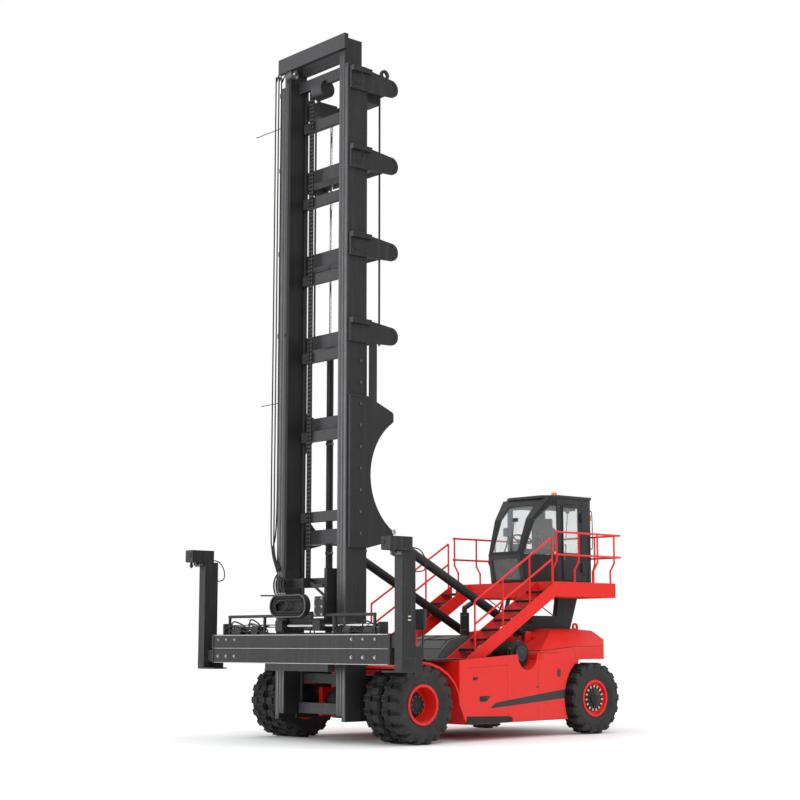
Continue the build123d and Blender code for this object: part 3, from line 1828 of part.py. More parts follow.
def canister():
    """Bright canister across the left engine bay, on its bracket."""
    y = along(canister_y)
    can = cross_rod(canister_x, canister_x + canister_length, y, canister_z, canister_radius)
    bracket = slab(
        (canister_x + canister_radius, canister_x + canister_radius * 2),
        (y - canister_radius / 2, y + canister_radius / 2),
        (bay_floor, canister_z),
    )
    return can + bracket


def side_mirror():
    """Mirror on a post from the deck, drawn on the left."""
    y = along(mirror_y + mirror_depth)
    frame = slab(
        (mirror_x - mirror_width / 2, mirror_x + mirror_width / 2),
        (along(mirror_y), along(mirror_y + mirror_depth)),
        (mirror_bottom, mirror_bottom + mirror_height),
    )
    post_y = y + mirror_post_radius
    post = rod(
        (mirror_x, post_y, body_deck + deck_skin),
        (mirror_x, post_y, mirror_bottom + mirror_height / 2),
        mirror_post_radius,
    )
    return frame + post


def grab_rail():
    """Bent grab tube from the platform to the cab's right front corner."""
    foot_y = along(cab_rear - grab_foot_lead)
    points = [
        (-grab_x, along(cab_rear - grab_top_lead), platform_top + grab_top_rise),
        (-grab_x, along(cab_rear - grab_brow_lead), platform_top + grab_brow_rise),
        (-grab_x, along(cab_rear - grab_nose_lead), platform_top + grab_nose_rise),
        (-grab_x, foot_y, platform_top + grab_foot_rise),
        (-grab_x, foot_y, platform_top),
    ]
    pieces = [rod(*pair, grab_radius) for pair in zip(points, points[1:])]
    pieces += [Pos(*place) * Sphere(grab_bend_radius) for place in points[1:-1]]
    return (Part() + pieces) - cab_block(0)


def lamps():
    """Indicators at the front of the deck and a work lamp on the cab's rear corner."""
    low = body_deck + deck_skin
    indicator = slab(
        (indicator_x - indicator_half, indicator_x + indicator_half),
        (along(rail_front), along(rail_front) + indicator_depth),
        (low, low + indicator_height),
    )
    lamp_z = platform_top + work_lamp_rise
    work_lamp = slab(
        (work_lamp_x - work_lamp_half, work_lamp_x + work_lamp_half),
        (along(cab_rear), along(cab_rear) + work_lamp_depth),
        (lamp_z - work_lamp_half, lamp_z + work_lamp_half),
    )
    return both_sides(indicator) + work_lamp


def beacon():
    """Beacon on the cab roof."""
    base = platform_top + cab_height + roof_thickness
    y = along(cab_rear - cab_half)
    return rod((cab_half / 2, y, base), (cab_half / 2, y, base + beacon_height), beacon_radius)


os.makedirs("parts", exist_ok=True)

front_tyres, front_rims = front_wheel()
rear_tyre, rear_rim = rear_wheel()
tilt_barrel, tilt_rod = tilt_cylinder()
cushion, seat_back, seat_base = seat()
upper_box_low = beam_bottom + beam_height + beam_split

nodes = {
    "front_tyres_left": front_tyres,
    "front_tyres_right": right_of(front_tyres),
    "front_rims_left": front_rims,
    "front_rims_right": right_of(front_rims),
    "rear_tyre_left": rear_tyre,
    "rear_tyre_right": right_of(rear_tyre),
    "rear_rim_left": rear_rim,
    "rear_rim_right": right_of(rear_rim),
    "drive_axle": drive_axle(),
    "steer_axle": steer_axle(),
    "knuckle_left": knuckle(),
    "knuckle_right": right_of(knuckle()),
    "outer_mast": both_sides(outer_rail()),
    "mast_crossboxes": mast_ties(),
    "claws": Part() + [both_sides(claw(top)) + claw_tie(top) for top in claw_tops]
    + both_sides(claw_eye()),
    "hook_plates": both_sides(hook_plate()),
    "lift_barrels": both_sides(lift_barrel()),
    "lift_rods": both_sides(lift_rod()),
    "lift_pipes": both_sides(lift_pipe()),
    "inner_mast": both_sides(inner_rail() + crosshead()),
    "inner_crossbars": inner_bars(),
    "lift_chains": both_sides(lift_chain()),
    "mast_hoses": mast_hoses(),
    "carriage": carriage_frame(),
    "cable_tray": cable_tray(),
    "spreader_beam": spreader_beam(),
    "guide_bar": guide_bar(),
    "spreader_fittings": both_sides(spreader_fittings()),
    "spreader_arm_left": spreader_arm(upper_box_low) + spreader_head(),
    "spreader_arm_right": right_of(spreader_arm(beam_bottom) + spreader_head()),
    "tilt_barrel_left": tilt_barrel,
    "tilt_barrel_right": right_of(tilt_barrel),
    "tilt_rod_left": tilt_rod,
    "tilt_rod_right": right_of(tilt_rod),
    "chassis_frame": chassis_frame(),
    "side_bodies": both_sides(side_body() + fender()),
    "deck": deck(),
    "rear_hood": rear_hood(),
    "cab_column": cab_column(),
    "platform": platform(),
    "platform_rails": both_sides(platform_rails()),
    "stairs": both_sides(stairs() + stair_rails()),
    "cab_shell": cab_shell(),
    "cab_roof": cab_roof(),
    "cab_door": cab_door(),
    "cab_glass": cab_glass(),
    "door_glass": glass_skin() & door_pane(),
    "seat_cushion": cushion,
    "seat_back": seat_back,
    "cab_fittings": Part() + [seat_base, console()],
    "engine": engine(),
    "engine_cover": engine_cover(),
    "bay_canister": canister(),
    "exhaust_stack": exhaust_stack(),
    "air_cleaner": air_cleaner(),
    "mirrors": both_sides(side_mirror()),
    "beacon": beacon(),
    "lamps": lamps(),
    "grab_rail": grab_rail(),
}

for name, shape in nodes.items():
    export_step(shape, f"parts/{name}.step")
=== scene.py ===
"""Finishes, soft goods, glass and small fittings of an empty container handler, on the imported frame."""

import math
from functools import partial

import bmesh
import bpy
import numpy as np
from bpy.props import FloatProperty, FloatVectorProperty, IntProperty, PointerProperty
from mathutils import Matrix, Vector


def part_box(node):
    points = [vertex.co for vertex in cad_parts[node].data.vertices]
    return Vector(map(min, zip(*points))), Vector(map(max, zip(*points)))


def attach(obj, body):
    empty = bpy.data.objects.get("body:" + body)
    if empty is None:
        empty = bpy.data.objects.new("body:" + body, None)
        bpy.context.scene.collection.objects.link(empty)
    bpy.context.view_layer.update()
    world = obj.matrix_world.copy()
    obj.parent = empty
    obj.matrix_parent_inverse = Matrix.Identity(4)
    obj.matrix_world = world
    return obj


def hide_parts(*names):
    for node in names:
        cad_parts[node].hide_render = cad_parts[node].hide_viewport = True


bl_info = {
    "name": "Container handler finishes",
    "version": (1, 0, 0),
    "blender": (4, 5, 0),
    "location": "3D View > Sidebar > Handler",
    "description": "Paint, rubber, glass, seat, bolts and hoses of an empty container handler",
    "category": "Object",
}

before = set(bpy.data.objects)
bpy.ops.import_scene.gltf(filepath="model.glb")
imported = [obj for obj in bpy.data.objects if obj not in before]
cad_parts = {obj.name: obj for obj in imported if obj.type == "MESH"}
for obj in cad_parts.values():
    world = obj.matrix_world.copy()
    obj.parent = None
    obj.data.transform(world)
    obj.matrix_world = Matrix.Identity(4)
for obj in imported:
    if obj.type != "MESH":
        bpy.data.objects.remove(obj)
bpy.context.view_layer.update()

# The drive axle's place along the machine; distances behind it are counted from here.
FRONT_AXLE_Y = -2.175
REAR_AXLE = 4.913
CLAW_TOPS = (12.29, 10.79, 9.14, 7.55)
CLAW_FACE_X = 1.0455
UP, LEFT, FORWARD = (0, 0, 1), (1, 0, 0), (0, -1, 0)


def along(distance):
    """Y of a place that lies a distance behind the drive axle."""
    return FRONT_AXLE_Y + distance


# Node helpers


def feed(tree, node, inputs):
    """Sets a node's inputs to values, or links them to sockets."""
    for name, value in inputs.items():
        if isinstance(value, bpy.types.NodeSocket):
            tree.links.new(value, node.inputs[name])
        else:
            node.inputs[name].default_value = value


def add(tree, kind, inputs=None, **settings):
    """A shader node of a kind, with its settings, and with its inputs set to values or linked to sockets."""
    made = tree.nodes.new("ShaderNode" + kind)
    for name, value in settings.items():
        setattr(made, name, value)
    feed(tree, made, inputs or {})
    return made


def maths(tree, operation, first, second=0.0, clamp=False):
    """One Math node's result."""
    return add(tree, "Math", {0: first, 1: second}, operation=operation, use_clamp=clamp).outputs[0]


def plus(tree, first, second, clamp=False):
    """Sum of two values."""
    return maths(tree, "ADD", first, second, clamp)


def minus(tree, first, second):
    """Difference of two values."""
    return maths(tree, "SUBTRACT", first, second)


def times(tree, first, second, clamp=False):
    """Product of two values."""
    return maths(tree, "MULTIPLY", first, second, clamp)


def remap(tree, value, low, high, to_low=0.0, to_high=1.0):
    """A value stretched from one range to another, clamped at both ends."""
    inputs = {"Value": value, "From Min": low, "From Max": high, "To Min": to_low, "To Max": to_high}
    return add(tree, "MapRange", inputs).outputs["Result"]


def noise(tree, vector, scale, detail, roughness=0.5):
    """Noise between 0 and 1."""
    inputs = {"Vector": vector, "Scale": scale, "Detail": detail, "Roughness": roughness}
    return add(tree, "TexNoise", inputs).outputs["Fac"]


def parts_of(tree, vector):
    """The X, Y and Z of a vector."""
    return add(tree, "SeparateXYZ", {"Vector": vector}).outputs


def blend_colours(tree, factor, first, second):
    """First colour where the factor is 0, second where it is 1."""
    first, second = [(*colour, 1.0) if isinstance(colour, tuple) else colour for colour in (first, second)]
    return add(tree, "Mix", {0: factor, 6: first, 7: second}, data_type="RGBA").outputs[2]


def new_group(name, inputs, outputs):
    """An empty shader group; its first input is a vector and the others are numbers with their defaults."""
    group = bpy.data.node_groups.new(name, "ShaderNodeTree")
    group.interface.new_socket("Vector", in_out="INPUT", socket_type="NodeSocketVector")
    for label, default in inputs.items():
        group.interface.new_socket(label, in_out="INPUT", socket_type="NodeSocketFloat").default_value = default
    for label in outputs:
        group.interface.new_socket(label, in_out="OUTPUT", socket_type="NodeSocketFloat")
    return group, group.nodes.new("NodeGroupInput").outputs, group.nodes.new("NodeGroupOutput")


def dust_group():
    """Dust that gathers on upward faces and in patches, and streaks that run down upright ones."""
    group, given, end = new_group("settled_dust", {"Scale": 1.5, "Top": 0.5, "Streaks": 0.3}, ("Mask", "Patch"))
    patch = remap(group, noise(group, given["Vector"], given["Scale"], 6.0, 0.62), 0.38, 0.72)
    drawn = add(group, "Mapping", {"Vector": given["Vector"], "Scale": (9.0, 9.0, 0.55)})
    run = remap(group, noise(group, drawn.outputs[0], given["Scale"], 4.0), 0.50, 0.78)
    run = times(group, run, given["Streaks"])
    normal = parts_of(group, add(group, "NewGeometry").outputs["Normal"])
    top = times(group, remap(group, normal["Z"], 0.35, 0.95), given["Top"])
    top = times(group, top, remap(group, patch, 0.0, 1.0, 0.35, 1.0))
    feed(group, end, {"Mask": plus(group, top, times(group, run, patch), clamp=True), "Patch": patch})
    return group


def edge_group():
    """Worn edges: where a slightly rounded copy of the surface's normal leaves the true one, in patches."""
    group, given, end = new_group("edge_wear", {"Radius": 0.006, "Scale": 6.0}, ("Mask",))
    rounded = add(group, "Bevel", {"Radius": given["Radius"]}, samples=4).outputs["Normal"]
    true = add(group, "NewGeometry").outputs["Normal"]
    agree = add(group, "VectorMath", {0: rounded, 1: true}, operation="DOT_PRODUCT").outputs["Value"]
    patch = remap(group, noise(group, given["Vector"], given["Scale"], 8.0, 0.7), 0.46, 0.60)
    feed(group, end, {"Mask": times(group, remap(group, agree, 0.995, 0.86), patch, clamp=True)})
    return group


def grain_group():
    """Fine surface height: the orange peel of sprayed paint, or coarse grain on castings and rubber."""
    group, given, end = new_group("surface_grain", {"Scale": 90.0, "Coarse": 0.4}, ("Height", "Tone"))
    fine = noise(group, given["Vector"], given["Scale"], 3.0)
    broad = noise(group, given["Vector"], times(group, given["Scale"], 0.11), 5.0, 0.6)
    height = plus(group, fine, times(group, broad, given["Coarse"]))
    feed(group, end, {"Height": height, "Tone": remap(group, broad, 0.3, 0.7)})
    return group


def weave_group():
    """Plain weave: over and under threads as crossed waves, and the height of the cloth."""
    group, given, end = new_group("cloth_weave", {"Scale": 260.0}, ("Height", "Thread"))
    thread = {"Vector": given["Vector"], "Scale": given["Scale"], "Distortion": 0.6, "Detail": 1.0, "Detail Scale": 1.5}
    waves = [add(group, "TexWave", thread, bands_direction=way).outputs["Fac"] for way in ("X", "Y", "Z")]
    crossed = maths(group, "MAXIMUM", waves[0], maths(group, "MAXIMUM", waves[1], waves[2]))
    feed(group, end, {"Height": crossed, "Thread": remap(group, crossed, 0.3, 0.95)})
    return group


def tread_group():
    """Raised bars of tread plate: the product of two diagonal sine waves, cut off at its crests."""
    group, given, end = new_group("raised_tread", {"Pitch": 46.0}, ("Height",))
    axis = parts_of(group, given["Vector"])
    waves = []
    for way in (plus, minus):
        run = way(group, plus(group, axis["X"], axis["Z"]), axis["Y"])
        waves.append(maths(group, "SINE", times(group, run, given["Pitch"])))
    crossed = maths(group, "ABSOLUTE", times(group, *waves))
    feed(group, end, {"Height": remap(group, crossed, 0.55, 0.75)})
    return group


def ring_group():
    """Wall of a tyre: rings as a sine of the distance from its centre, gaps between blocks as one of the angle; the gap
    mask also gives the tyre its painted shade.
    """
    inputs = {"Centre Y": 0.0, "Centre Z": 0.682, "Pitch": 420.0}
    group, given, end = new_group("wall_rings", inputs, ("Height", "Gap_Shade"))
    axis = parts_of(group, given["Vector"])
    across = minus(group, axis["Y"], given["Centre Y"])
    up = minus(group, axis["Z"], given["Centre Z"])
    square = plus(group, maths(group, "POWER", across, 2.0), maths(group, "POWER", up, 2.0))
    radius = maths(group, "SQRT", square)
    turn = plus(group, maths(group, "ARCTAN2", up, across), times(group, radius, 0.9))
    gap = remap(group, maths(group, "SINE", times(group, turn, 18.0)), 0.45, 0.70)
    gap = times(group, gap, remap(group, radius, 0.560, 0.590))
    ribs = maths(group, "SINE", times(group, radius, given["Pitch"]))
    wall = times(group, remap(group, radius, 0.44, 0.46), remap(group, radius, 0.52, 0.50))
    height = minus(group, times(group, ribs, wall), times(group, gap, 5.0))
    feed(group, end, {"Height": height, "Gap_Shade": gap})
    return group


GROUPS = {}


def build_groups():
    """The shared effects, each made once."""
    GROUPS.update(dust=dust_group(), edge=edge_group(), grain=grain_group(), weave=weave_group(),
                  tread=tread_group(), rings=ring_group())


def effect(tree, name, place, **inputs):
    """One shared effect in a material, with its own values."""
    made = tree.nodes.new("ShaderNodeGroup")
    made.node_tree = GROUPS[name]
    feed(tree, made, {"Vector": place, **{label.replace("_", " "): value for label, value in inputs.items()}})
    return made.outputs


def new_material(name):
    """An empty material with its shader, its output and the object's own coordinates."""
    material = bpy.data.materials.new(name)
    material.use_nodes = True
    tree = material.node_tree
    tree.nodes.clear()
    shader = add(tree, "BsdfPrincipled")
    add(tree, "OutputMaterial", {0: shader.outputs[0]})
    return material, tree, shader, add(tree, "TexCoord").outputs["Object"]


def relief(tree, height, strength, distance):
    """Normal of a surface that a height raises."""
    return add(tree, "Bump", {"Height": height, "Strength": strength, "Distance": distance}).outputs[0]


def scaled(colour, factor):
    """A colour made lighter or darker by a factor."""
    return tuple(min(part * factor, 1.0) for part in colour)


# Materials


def coated(name, colour, roughness, under=(0.20, 0.19, 0.18), wear=0.7, wear_radius=0.005, dust=0.35,
           streaks=0.25, dust_colour=(0.46, 0.43, 0.39), coat=0.0, peel=0.03, scale=1.3, stripe=None,
           front=None, specular=0.35, raised=False):
    """Sprayed paint on steel: slight tone changes, orange peel, worn edges, dust on top and runs down the sides.

    A front colour is a painted highlight: the paler tone of faces that look forward, towards the light, and raised
    gives the steel its tread bars."""
    material, tree, shader, place = new_material(name)
    dirt = effect(tree, "dust", place, Scale=scale, Top=dust, Streaks=streaks)
    edge = effect(tree, "edge", place, Radius=wear_radius, Scale=7.0)
    grain = effect(tree, "grain", place, Scale=160.0, Coarse=0.6)
    base = blend_colours(tree, grain["Tone"], scaled(colour, 0.95), scaled(colour, 1.04))
    if front is not None:
        # Painted highlight: faces that look forward, towards the lamps, take the paler front colour
        facing = parts_of(tree, add(tree, "NewGeometry").outputs["Normal"])
        ahead = remap(tree, times(tree, facing["Y"], -1.0), 0.55, 0.95)
        ahead = times(tree, ahead, remap(tree, grain["Tone"], 0.0, 1.0, 0.7, 1.0))
        base = blend_colours(tree, ahead, base, front)
    if stripe is not None:
        base = blend_colours(tree, stripe(tree, place), base, (0.020, 0.020, 0.022))
    base = blend_colours(tree, times(tree, edge["Mask"], wear), base, under)
    base = blend_colours(tree, times(tree, dirt["Mask"], 0.6), base, dust_colour)
    rough = remap(tree, dirt["Patch"], 0.0, 1.0, roughness, min(roughness + 0.14, 1.0))
    rough = plus(tree, rough, times(tree, dirt["Mask"], 0.3), clamp=True)
    height = grain["Height"]
    if raised:
        height = plus(tree, times(tree, height, 0.1), effect(tree, "tread", place)["Height"])
        peel = 0.8
    feed(tree, shader, {
        "Base Color": base, "Roughness": rough, "Specular IOR Level": specular, "Coat Weight": coat,
        "Coat Roughness": 0.12, "Normal": relief(tree, height, peel, 0.002),
    })
    return material


def body_stripe(tree, place):
    """Mask of the dark wedge along the lower side: between two sloping lines, on the outer face only."""
    axis = parts_of(tree, place)
    run = minus(tree, axis["Y"], along(1.80))
    low = plus(tree, times(tree, run, 0.0583), 0.562)
    high = plus(tree, times(tree, run, 0.0941), 0.653)
    slant = minus(tree, run, times(tree, minus(tree, axis["Z"], 0.562), 1.9))
    mask = remap(tree, maths(tree, "ABSOLUTE", axis["X"]), 1.30, 1.31)
    for past, soft in ((minus(tree, axis["Z"], low), 0.004), (minus(tree, high, axis["Z"]), 0.004),
                       (slant, 0.01), (minus(tree, 2.47, run), 0.004)):
        mask = times(tree, mask, remap(tree, past, 0.0, soft))
    return mask


def near_line(tree, axis, start, stop, half):
    """Mask of a thin line in the side view between two (distance, Z) points: near it, and between its ends."""
    run = (stop[0] - start[0], stop[1] - start[1])
    length = math.hypot(*run)
    y = minus(tree, axis["Y"], along(start[0]))
    z = minus(tree, axis["Z"], start[1])
    off = minus(tree, times(tree, y, run[1] / length), times(tree, z, run[0] / length))
    on = plus(tree, times(tree, y, run[0] / length), times(tree, z, run[1] / length))
    close = remap(tree, maths(tree, "ABSOLUTE", off), half * 1.3, half)
    inside = times(tree, remap(tree, on, -half, 0.0), remap(tree, on, length + half, length))
    return times(tree, close, inside, clamp=True)


def side_lines(tree, place, lines):
    """Mask that holds every one of the given side lines, on the outer faces."""
    axis = parts_of(tree, place)
    mask = 0.0
    for line in lines:
        mask = maths(tree, "MAXIMUM", mask, near_line(tree, axis, *line))
    return times(tree, mask, remap(tree, maths(tree, "ABSOLUTE", axis["X"]), 1.16, 1.18), clamp=True)


HOOD_LINES = (
    ((3.30, 1.592), (4.42, 1.672), 0.005), ((4.42, 1.672), (4.50, 1.43), 0.004), ((4.42, 1.672), (5.60, 1.690), 0.004),
)
BODY_SEAMS = (
    ((2.36, 0.31), (2.36, 1.42), 0.003), ((1.19, 1.30), (2.36, 1.34), 0.003), ((3.30, 0.31), (3.30, 1.54), 0.003),
)


def wedge_and_seams(tree, place):
    """The dark wedge along the side and the seams of its panels."""
    return maths(tree, "MAXIMUM", body_stripe(tree, place), side_lines(tree, place, BODY_SEAMS))


def gloss_face(name, colour, roughness=0.06):
    """Dark glossy face such as a lens or a screen, with faint dust that dulls it in patches."""
    material, tree, shader, place = new_material(name)
    dirt = effect(tree, "dust", place, Scale=12.0, Top=0.3, Streaks=0.1)
    feed(tree, shader, {
        "Base Color": blend_colours(tree, times(tree, dirt["Patch"], 0.12), colour, (0.3, 0.3, 0.3)),
        "Roughness": remap(tree, dirt["Patch"], 0.0, 1.0, roughness, roughness + 0.12), "Coat Weight": 0.7,
    })
    return material


def leaf_chain(name):
    """Leaf chain: pale link plates and dark gaps that follow each other every 38 mm up the chain."""
    material, tree, shader, place = new_material(name)
    axis = parts_of(tree, place)
    grain = effect(tree, "grain", place, Scale=90.0, Coarse=0.8)
    bands = []
    for way, pitch, outer, inner in (("Z", 0.076, 0.36, 0.28), ("X", 0.0115, 0.44, 0.36)):
        step = maths(tree, "FRACT", times(tree, axis[way], 1 / pitch))
        bands.append(remap(tree, maths(tree, "ABSOLUTE", minus(tree, step, 0.5)), outer, inner))
    body = times(tree, *bands)
    base = blend_colours(tree, body, (0.008, 0.008, 0.009), (0.11, 0.11, 0.115))
    feed(tree, shader, {
        "Base Color": blend_colours(tree, times(tree, grain["Tone"], 0.3), base, (0.03, 0.028, 0.026)),
        "Roughness": remap(tree, grain["Tone"], 0.0, 1.0, 0.34, 0.55), "Metallic": 0.6,
        "Normal": relief(tree, body, 0.7, 0.004),
    })
    return material


def tyre_rubber(name, colour, centre=0.0):
    """Tyre rubber: nearly black, greyer and dustier low in the tread, with moulding rings and fine grain, and painted
    shade that darkens the gaps between tread blocks.
    """
    material, tree, shader, place = new_material(name)
    dirt = effect(tree, "dust", place, Scale=5.0, Top=0.25, Streaks=0.1)
    grain = effect(tree, "grain", place, Scale=220.0, Coarse=1.4)
    base = blend_colours(tree, grain["Tone"], scaled(colour, 0.8), scaled(colour, 1.35))
    base = blend_colours(tree, times(tree, dirt["Patch"], 0.35), base, (0.10, 0.095, 0.085))
    rings = effect(tree, "rings", place, Centre_Y=centre)
    # Painted shade: the gaps between tread blocks are darkened nearly to black
    feed(tree, shader, {
        "Base Color": blend_colours(tree, times(tree, rings["Gap_Shade"], 0.8), base, (0.004, 0.004, 0.004)),
        "Roughness": remap(tree, dirt["Patch"], 0.0, 1.0, 0.62, 0.86), "Specular IOR Level": 0.25,
        "Normal": relief(tree, plus(tree, grain["Height"], rings["Height"]), 0.25, 0.003),
    })
    return material


def bare_metal(name, colour, roughness, smear=0.35, brushed=False):
    """Bare or plated metal with oily smears and, where it is brushed, fine drawn lines."""
    material, tree, shader, place = new_material(name)
    grain = effect(tree, "grain", place, Scale=120.0, Coarse=0.8)
    dirt = effect(tree, "dust", place, Scale=3.0, Top=0.2, Streaks=0.3)
    feed(tree, shader, {
        "Base Color": blend_colours(tree, times(tree, dirt["Patch"], smear), colour, scaled(colour, 0.55)),
        "Roughness": remap(tree, grain["Tone"], 0.0, 1.0, roughness, roughness + 0.14), "Metallic": 1.0,
        "Normal": relief(tree, grain["Height"], 0.12 if brushed else 0.03, 0.001),
    })
    return material


def moulded_plastic(name, colour, roughness):
    """Moulded plastic with a fine leather-like grain and finger-rubbed patches."""
    material, tree, shader, place = new_material(name)
    grain = effect(tree, "grain", place, Scale=420.0, Coarse=0.5)
    dirt = effect(tree, "dust", place, Scale=6.0, Top=0.3, Streaks=0.1)
    feed(tree, shader, {
        "Base Color": blend_colours(tree, times(tree, dirt["Mask"], 0.35), colour, (0.30, 0.29, 0.27)),
        "Roughness": remap(tree, grain["Tone"], 0.0, 1.0, roughness, roughness + 0.12),
        "Normal": relief(tree, grain["Height"], 0.16, 0.001),
    })
    return material


def seat_fabric(name, colour):
    """Woven seat cloth with a sheen along its threads and faint wear in patches."""
    material, tree, shader, place = new_material(name)
    weave = effect(tree, "weave", place, Scale=190.0)
    dirt = effect(tree, "dust", place, Scale=9.0, Top=0.2, Streaks=0.0)
    base = blend_colours(tree, weave["Thread"], scaled(colour, 0.55), scaled(colour, 1.5))
    feed(tree, shader, {
        "Base Color": blend_colours(tree, times(tree, dirt["Patch"], 0.25), base, scaled(colour, 2.4)),
        "Roughness": 0.9, "Sheen Weight": 0.35, "Sheen Roughness": 0.5,
        "Normal": relief(tree, weave["Height"], 0.5, 0.001),
    })
    return material


def clear_glass(name, tint):
    """Tinted window glass, mostly clear, with a film of dust that fades in patches."""
    material, tree, shader, place = new_material(name)
    dirt = effect(tree, "dust", place, Scale=1.6, Top=0.3, Streaks=0.3)
    feed(tree, shader, {
        "Base Color": (*tint, 1.0), "Roughness": remap(tree, dirt["Patch"], 0.0, 1.0, 0.02, 0.07),
        "IOR": 1.45, "Specular IOR Level": 0.6, "Alpha": remap(tree, dirt["Patch"], 0.0, 1.0, 0.13, 0.16),
    })
    return material


def lamp_lens(name, colour):
    """Ribbed coloured lens with a soft glow of its own."""
    material, tree, shader, place = new_material(name)
    ribs = add(tree, "TexWave", {"Vector": place, "Scale": 60.0}, bands_direction="Z").outputs["Fac"]
    base = blend_colours(tree, ribs, scaled(colour, 0.75), colour)
    feed(tree, shader, {
        "Base Color": base, "Emission Color": base, "Emission Strength": 0.18, "Roughness": 0.2,
        "Coat Weight": 0.8, "Normal": relief(tree, ribs, 0.3, 0.002),
    })
    return material


MATERIALS = {}


def build_materials(sizes):
    """Every finish of the machine, by name."""
    red = tuple(sizes.red_paint)
    dark = tuple(sizes.mast_paint)
    black = tuple(sizes.black_paint)
    grey, rust = (0.12, 0.12, 0.12), (0.22, 0.18, 0.14)
    fresh = {"dust": 0.06, "streaks": 0.03, "wear": 0.3, "wear_radius": 0.004}
    hood_lines = partial(side_lines, lines=HOOD_LINES)
    paints = {
        "red_paint": (red, 0.40, {"coat": 0.12, "specular": 0.22, **fresh}),
        "body_paint": (red, 0.36, {"coat": 0.16, "specular": 0.22, "stripe": wedge_and_seams, **fresh}),
        "hood_paint": (red, 0.36, {"coat": 0.16, "specular": 0.25, "stripe": hood_lines, **fresh}),
        # A darker copy of the red, for painted shade
        "painted_shade_red": (scaled(red, 0.45), 0.45, {"dust": 0.2, "streaks": 0.1, "wear": 0.3}),
        "rim_paint": (red, 0.42, {"dust": 0.16, "streaks": 0.1, "wear": 0.4, "wear_radius": 0.004, "scale": 4.0}),
        # The mast's front colour is a painted highlight on its forward faces
        "mast_paint": (dark, 0.52, {
            "under": (0.16, 0.16, 0.16), "dust": 0.15, "streaks": 0.10, "wear": 0.6, "front": scaled(dark, 5.8),
            "specular": 0.25}),
        # The spreader's front colour is a painted highlight on its forward faces
        "spreader_paint": (dark, 0.48, {
            "under": (0.24, 0.24, 0.24), "dust": 0.28, "streaks": 0.20, "wear": 0.75, "wear_radius": 0.006,
            "scale": 2.2, "front": scaled(dark, 2.4), "specular": 0.3}),
        "black_paint": (black, 0.46, {"under": grey, "dust": 0.25, "streaks": 0.15, "wear": 0.5, "specular": 0.3}),
        "hub_paint": (scaled(black, 1.3), 0.5, {
            "dust": 0.3, "streaks": 0.2, "wear": 0.6, "wear_radius": 0.003, "scale": 5.0, "specular": 0.3}),
        "tread_plate": (black, 0.5, {
            "under": (0.20, 0.20, 0.20), "streaks": 0.1, "wear": 0.6, "scale": 3.0, "specular": 0.3, "raised": True}),
        "cover_paint": ((0.085, 0.087, 0.09), 0.5, {
            "under": grey, "dust": 0.3, "streaks": 0.1, "wear": 0.4, "specular": 0.3}),
        "pipe_paint": (scaled(black, 1.2), 0.4, {"dust": 0.2, "streaks": 0.2, "wear": 0.3}),
        "cab_paint": (black, 0.34, {
            "under": (0.10, 0.10, 0.10), "dust": 0.16, "streaks": 0.08, "wear": 0.4, "coat": 0.2,
            "wear_radius": 0.004}),
        "engine_iron": (scaled(black, 1.6), 0.62, {
            "under": rust, "dust": 0.4, "streaks": 0.3, "wear": 0.6, "peel": 0.2, "scale": 4.0}),
    }
    metals = {
        "bright_rod": ((0.72, 0.73, 0.75), 0.12, 0.3), "bright_can": ((0.60, 0.60, 0.60), 0.26, 0.4, True),
        "pale_steel": ((0.42, 0.42, 0.43), 0.36, 0.5), "rubbed_steel": ((0.17, 0.17, 0.175), 0.42, 0.6, True),
        "bolt_steel": ((0.15, 0.15, 0.155), 0.4, 0.5),
    }
    plastics = {
        "black_plastic": ((0.018, 0.018, 0.019), 0.5), "hose_rubber": ((0.012, 0.012, 0.013), 0.55),
        "cab_lining": ((0.13, 0.13, 0.13), 0.7), "nut_cover": ((0.72, 0.62, 0.44), 0.45),
    }
    MATERIALS.update({name: coated(name, colour, rough, **rest) for name, (colour, rough, rest) in paints.items()})
    MATERIALS.update({name: bare_metal(name, *values) for name, values in metals.items()})
    MATERIALS.update({name: moulded_plastic(name, *values) for name, values in plastics.items()})
    MATERIALS.update(
        front_tread=tyre_rubber("front_tread", (0.020, 0.020, 0.021), along(0.0)),
        rear_tread=tyre_rubber("rear_tread", (0.020, 0.020, 0.021), along(REAR_AXLE)),
        chain_steel=leaf_chain("chain_steel"),
        seat_cloth=seat_fabric("seat_cloth", (0.035, 0.035, 0.04)),
        cab_glass=clear_glass("cab_glass", (0.60, 0.66, 0.68)),
        lens_glass=gloss_face("lens_glass", (0.02, 0.022, 0.025)),
        mirror_face=gloss_face("mirror_face", (0.05, 0.065, 0.06), 0.03),
        amber_lens=lamp_lens("amber_lens", (0.95, 0.28, 0.03)),
        red_lens=lamp_lens("red_lens", (0.55, 0.008, 0.008)),
    )


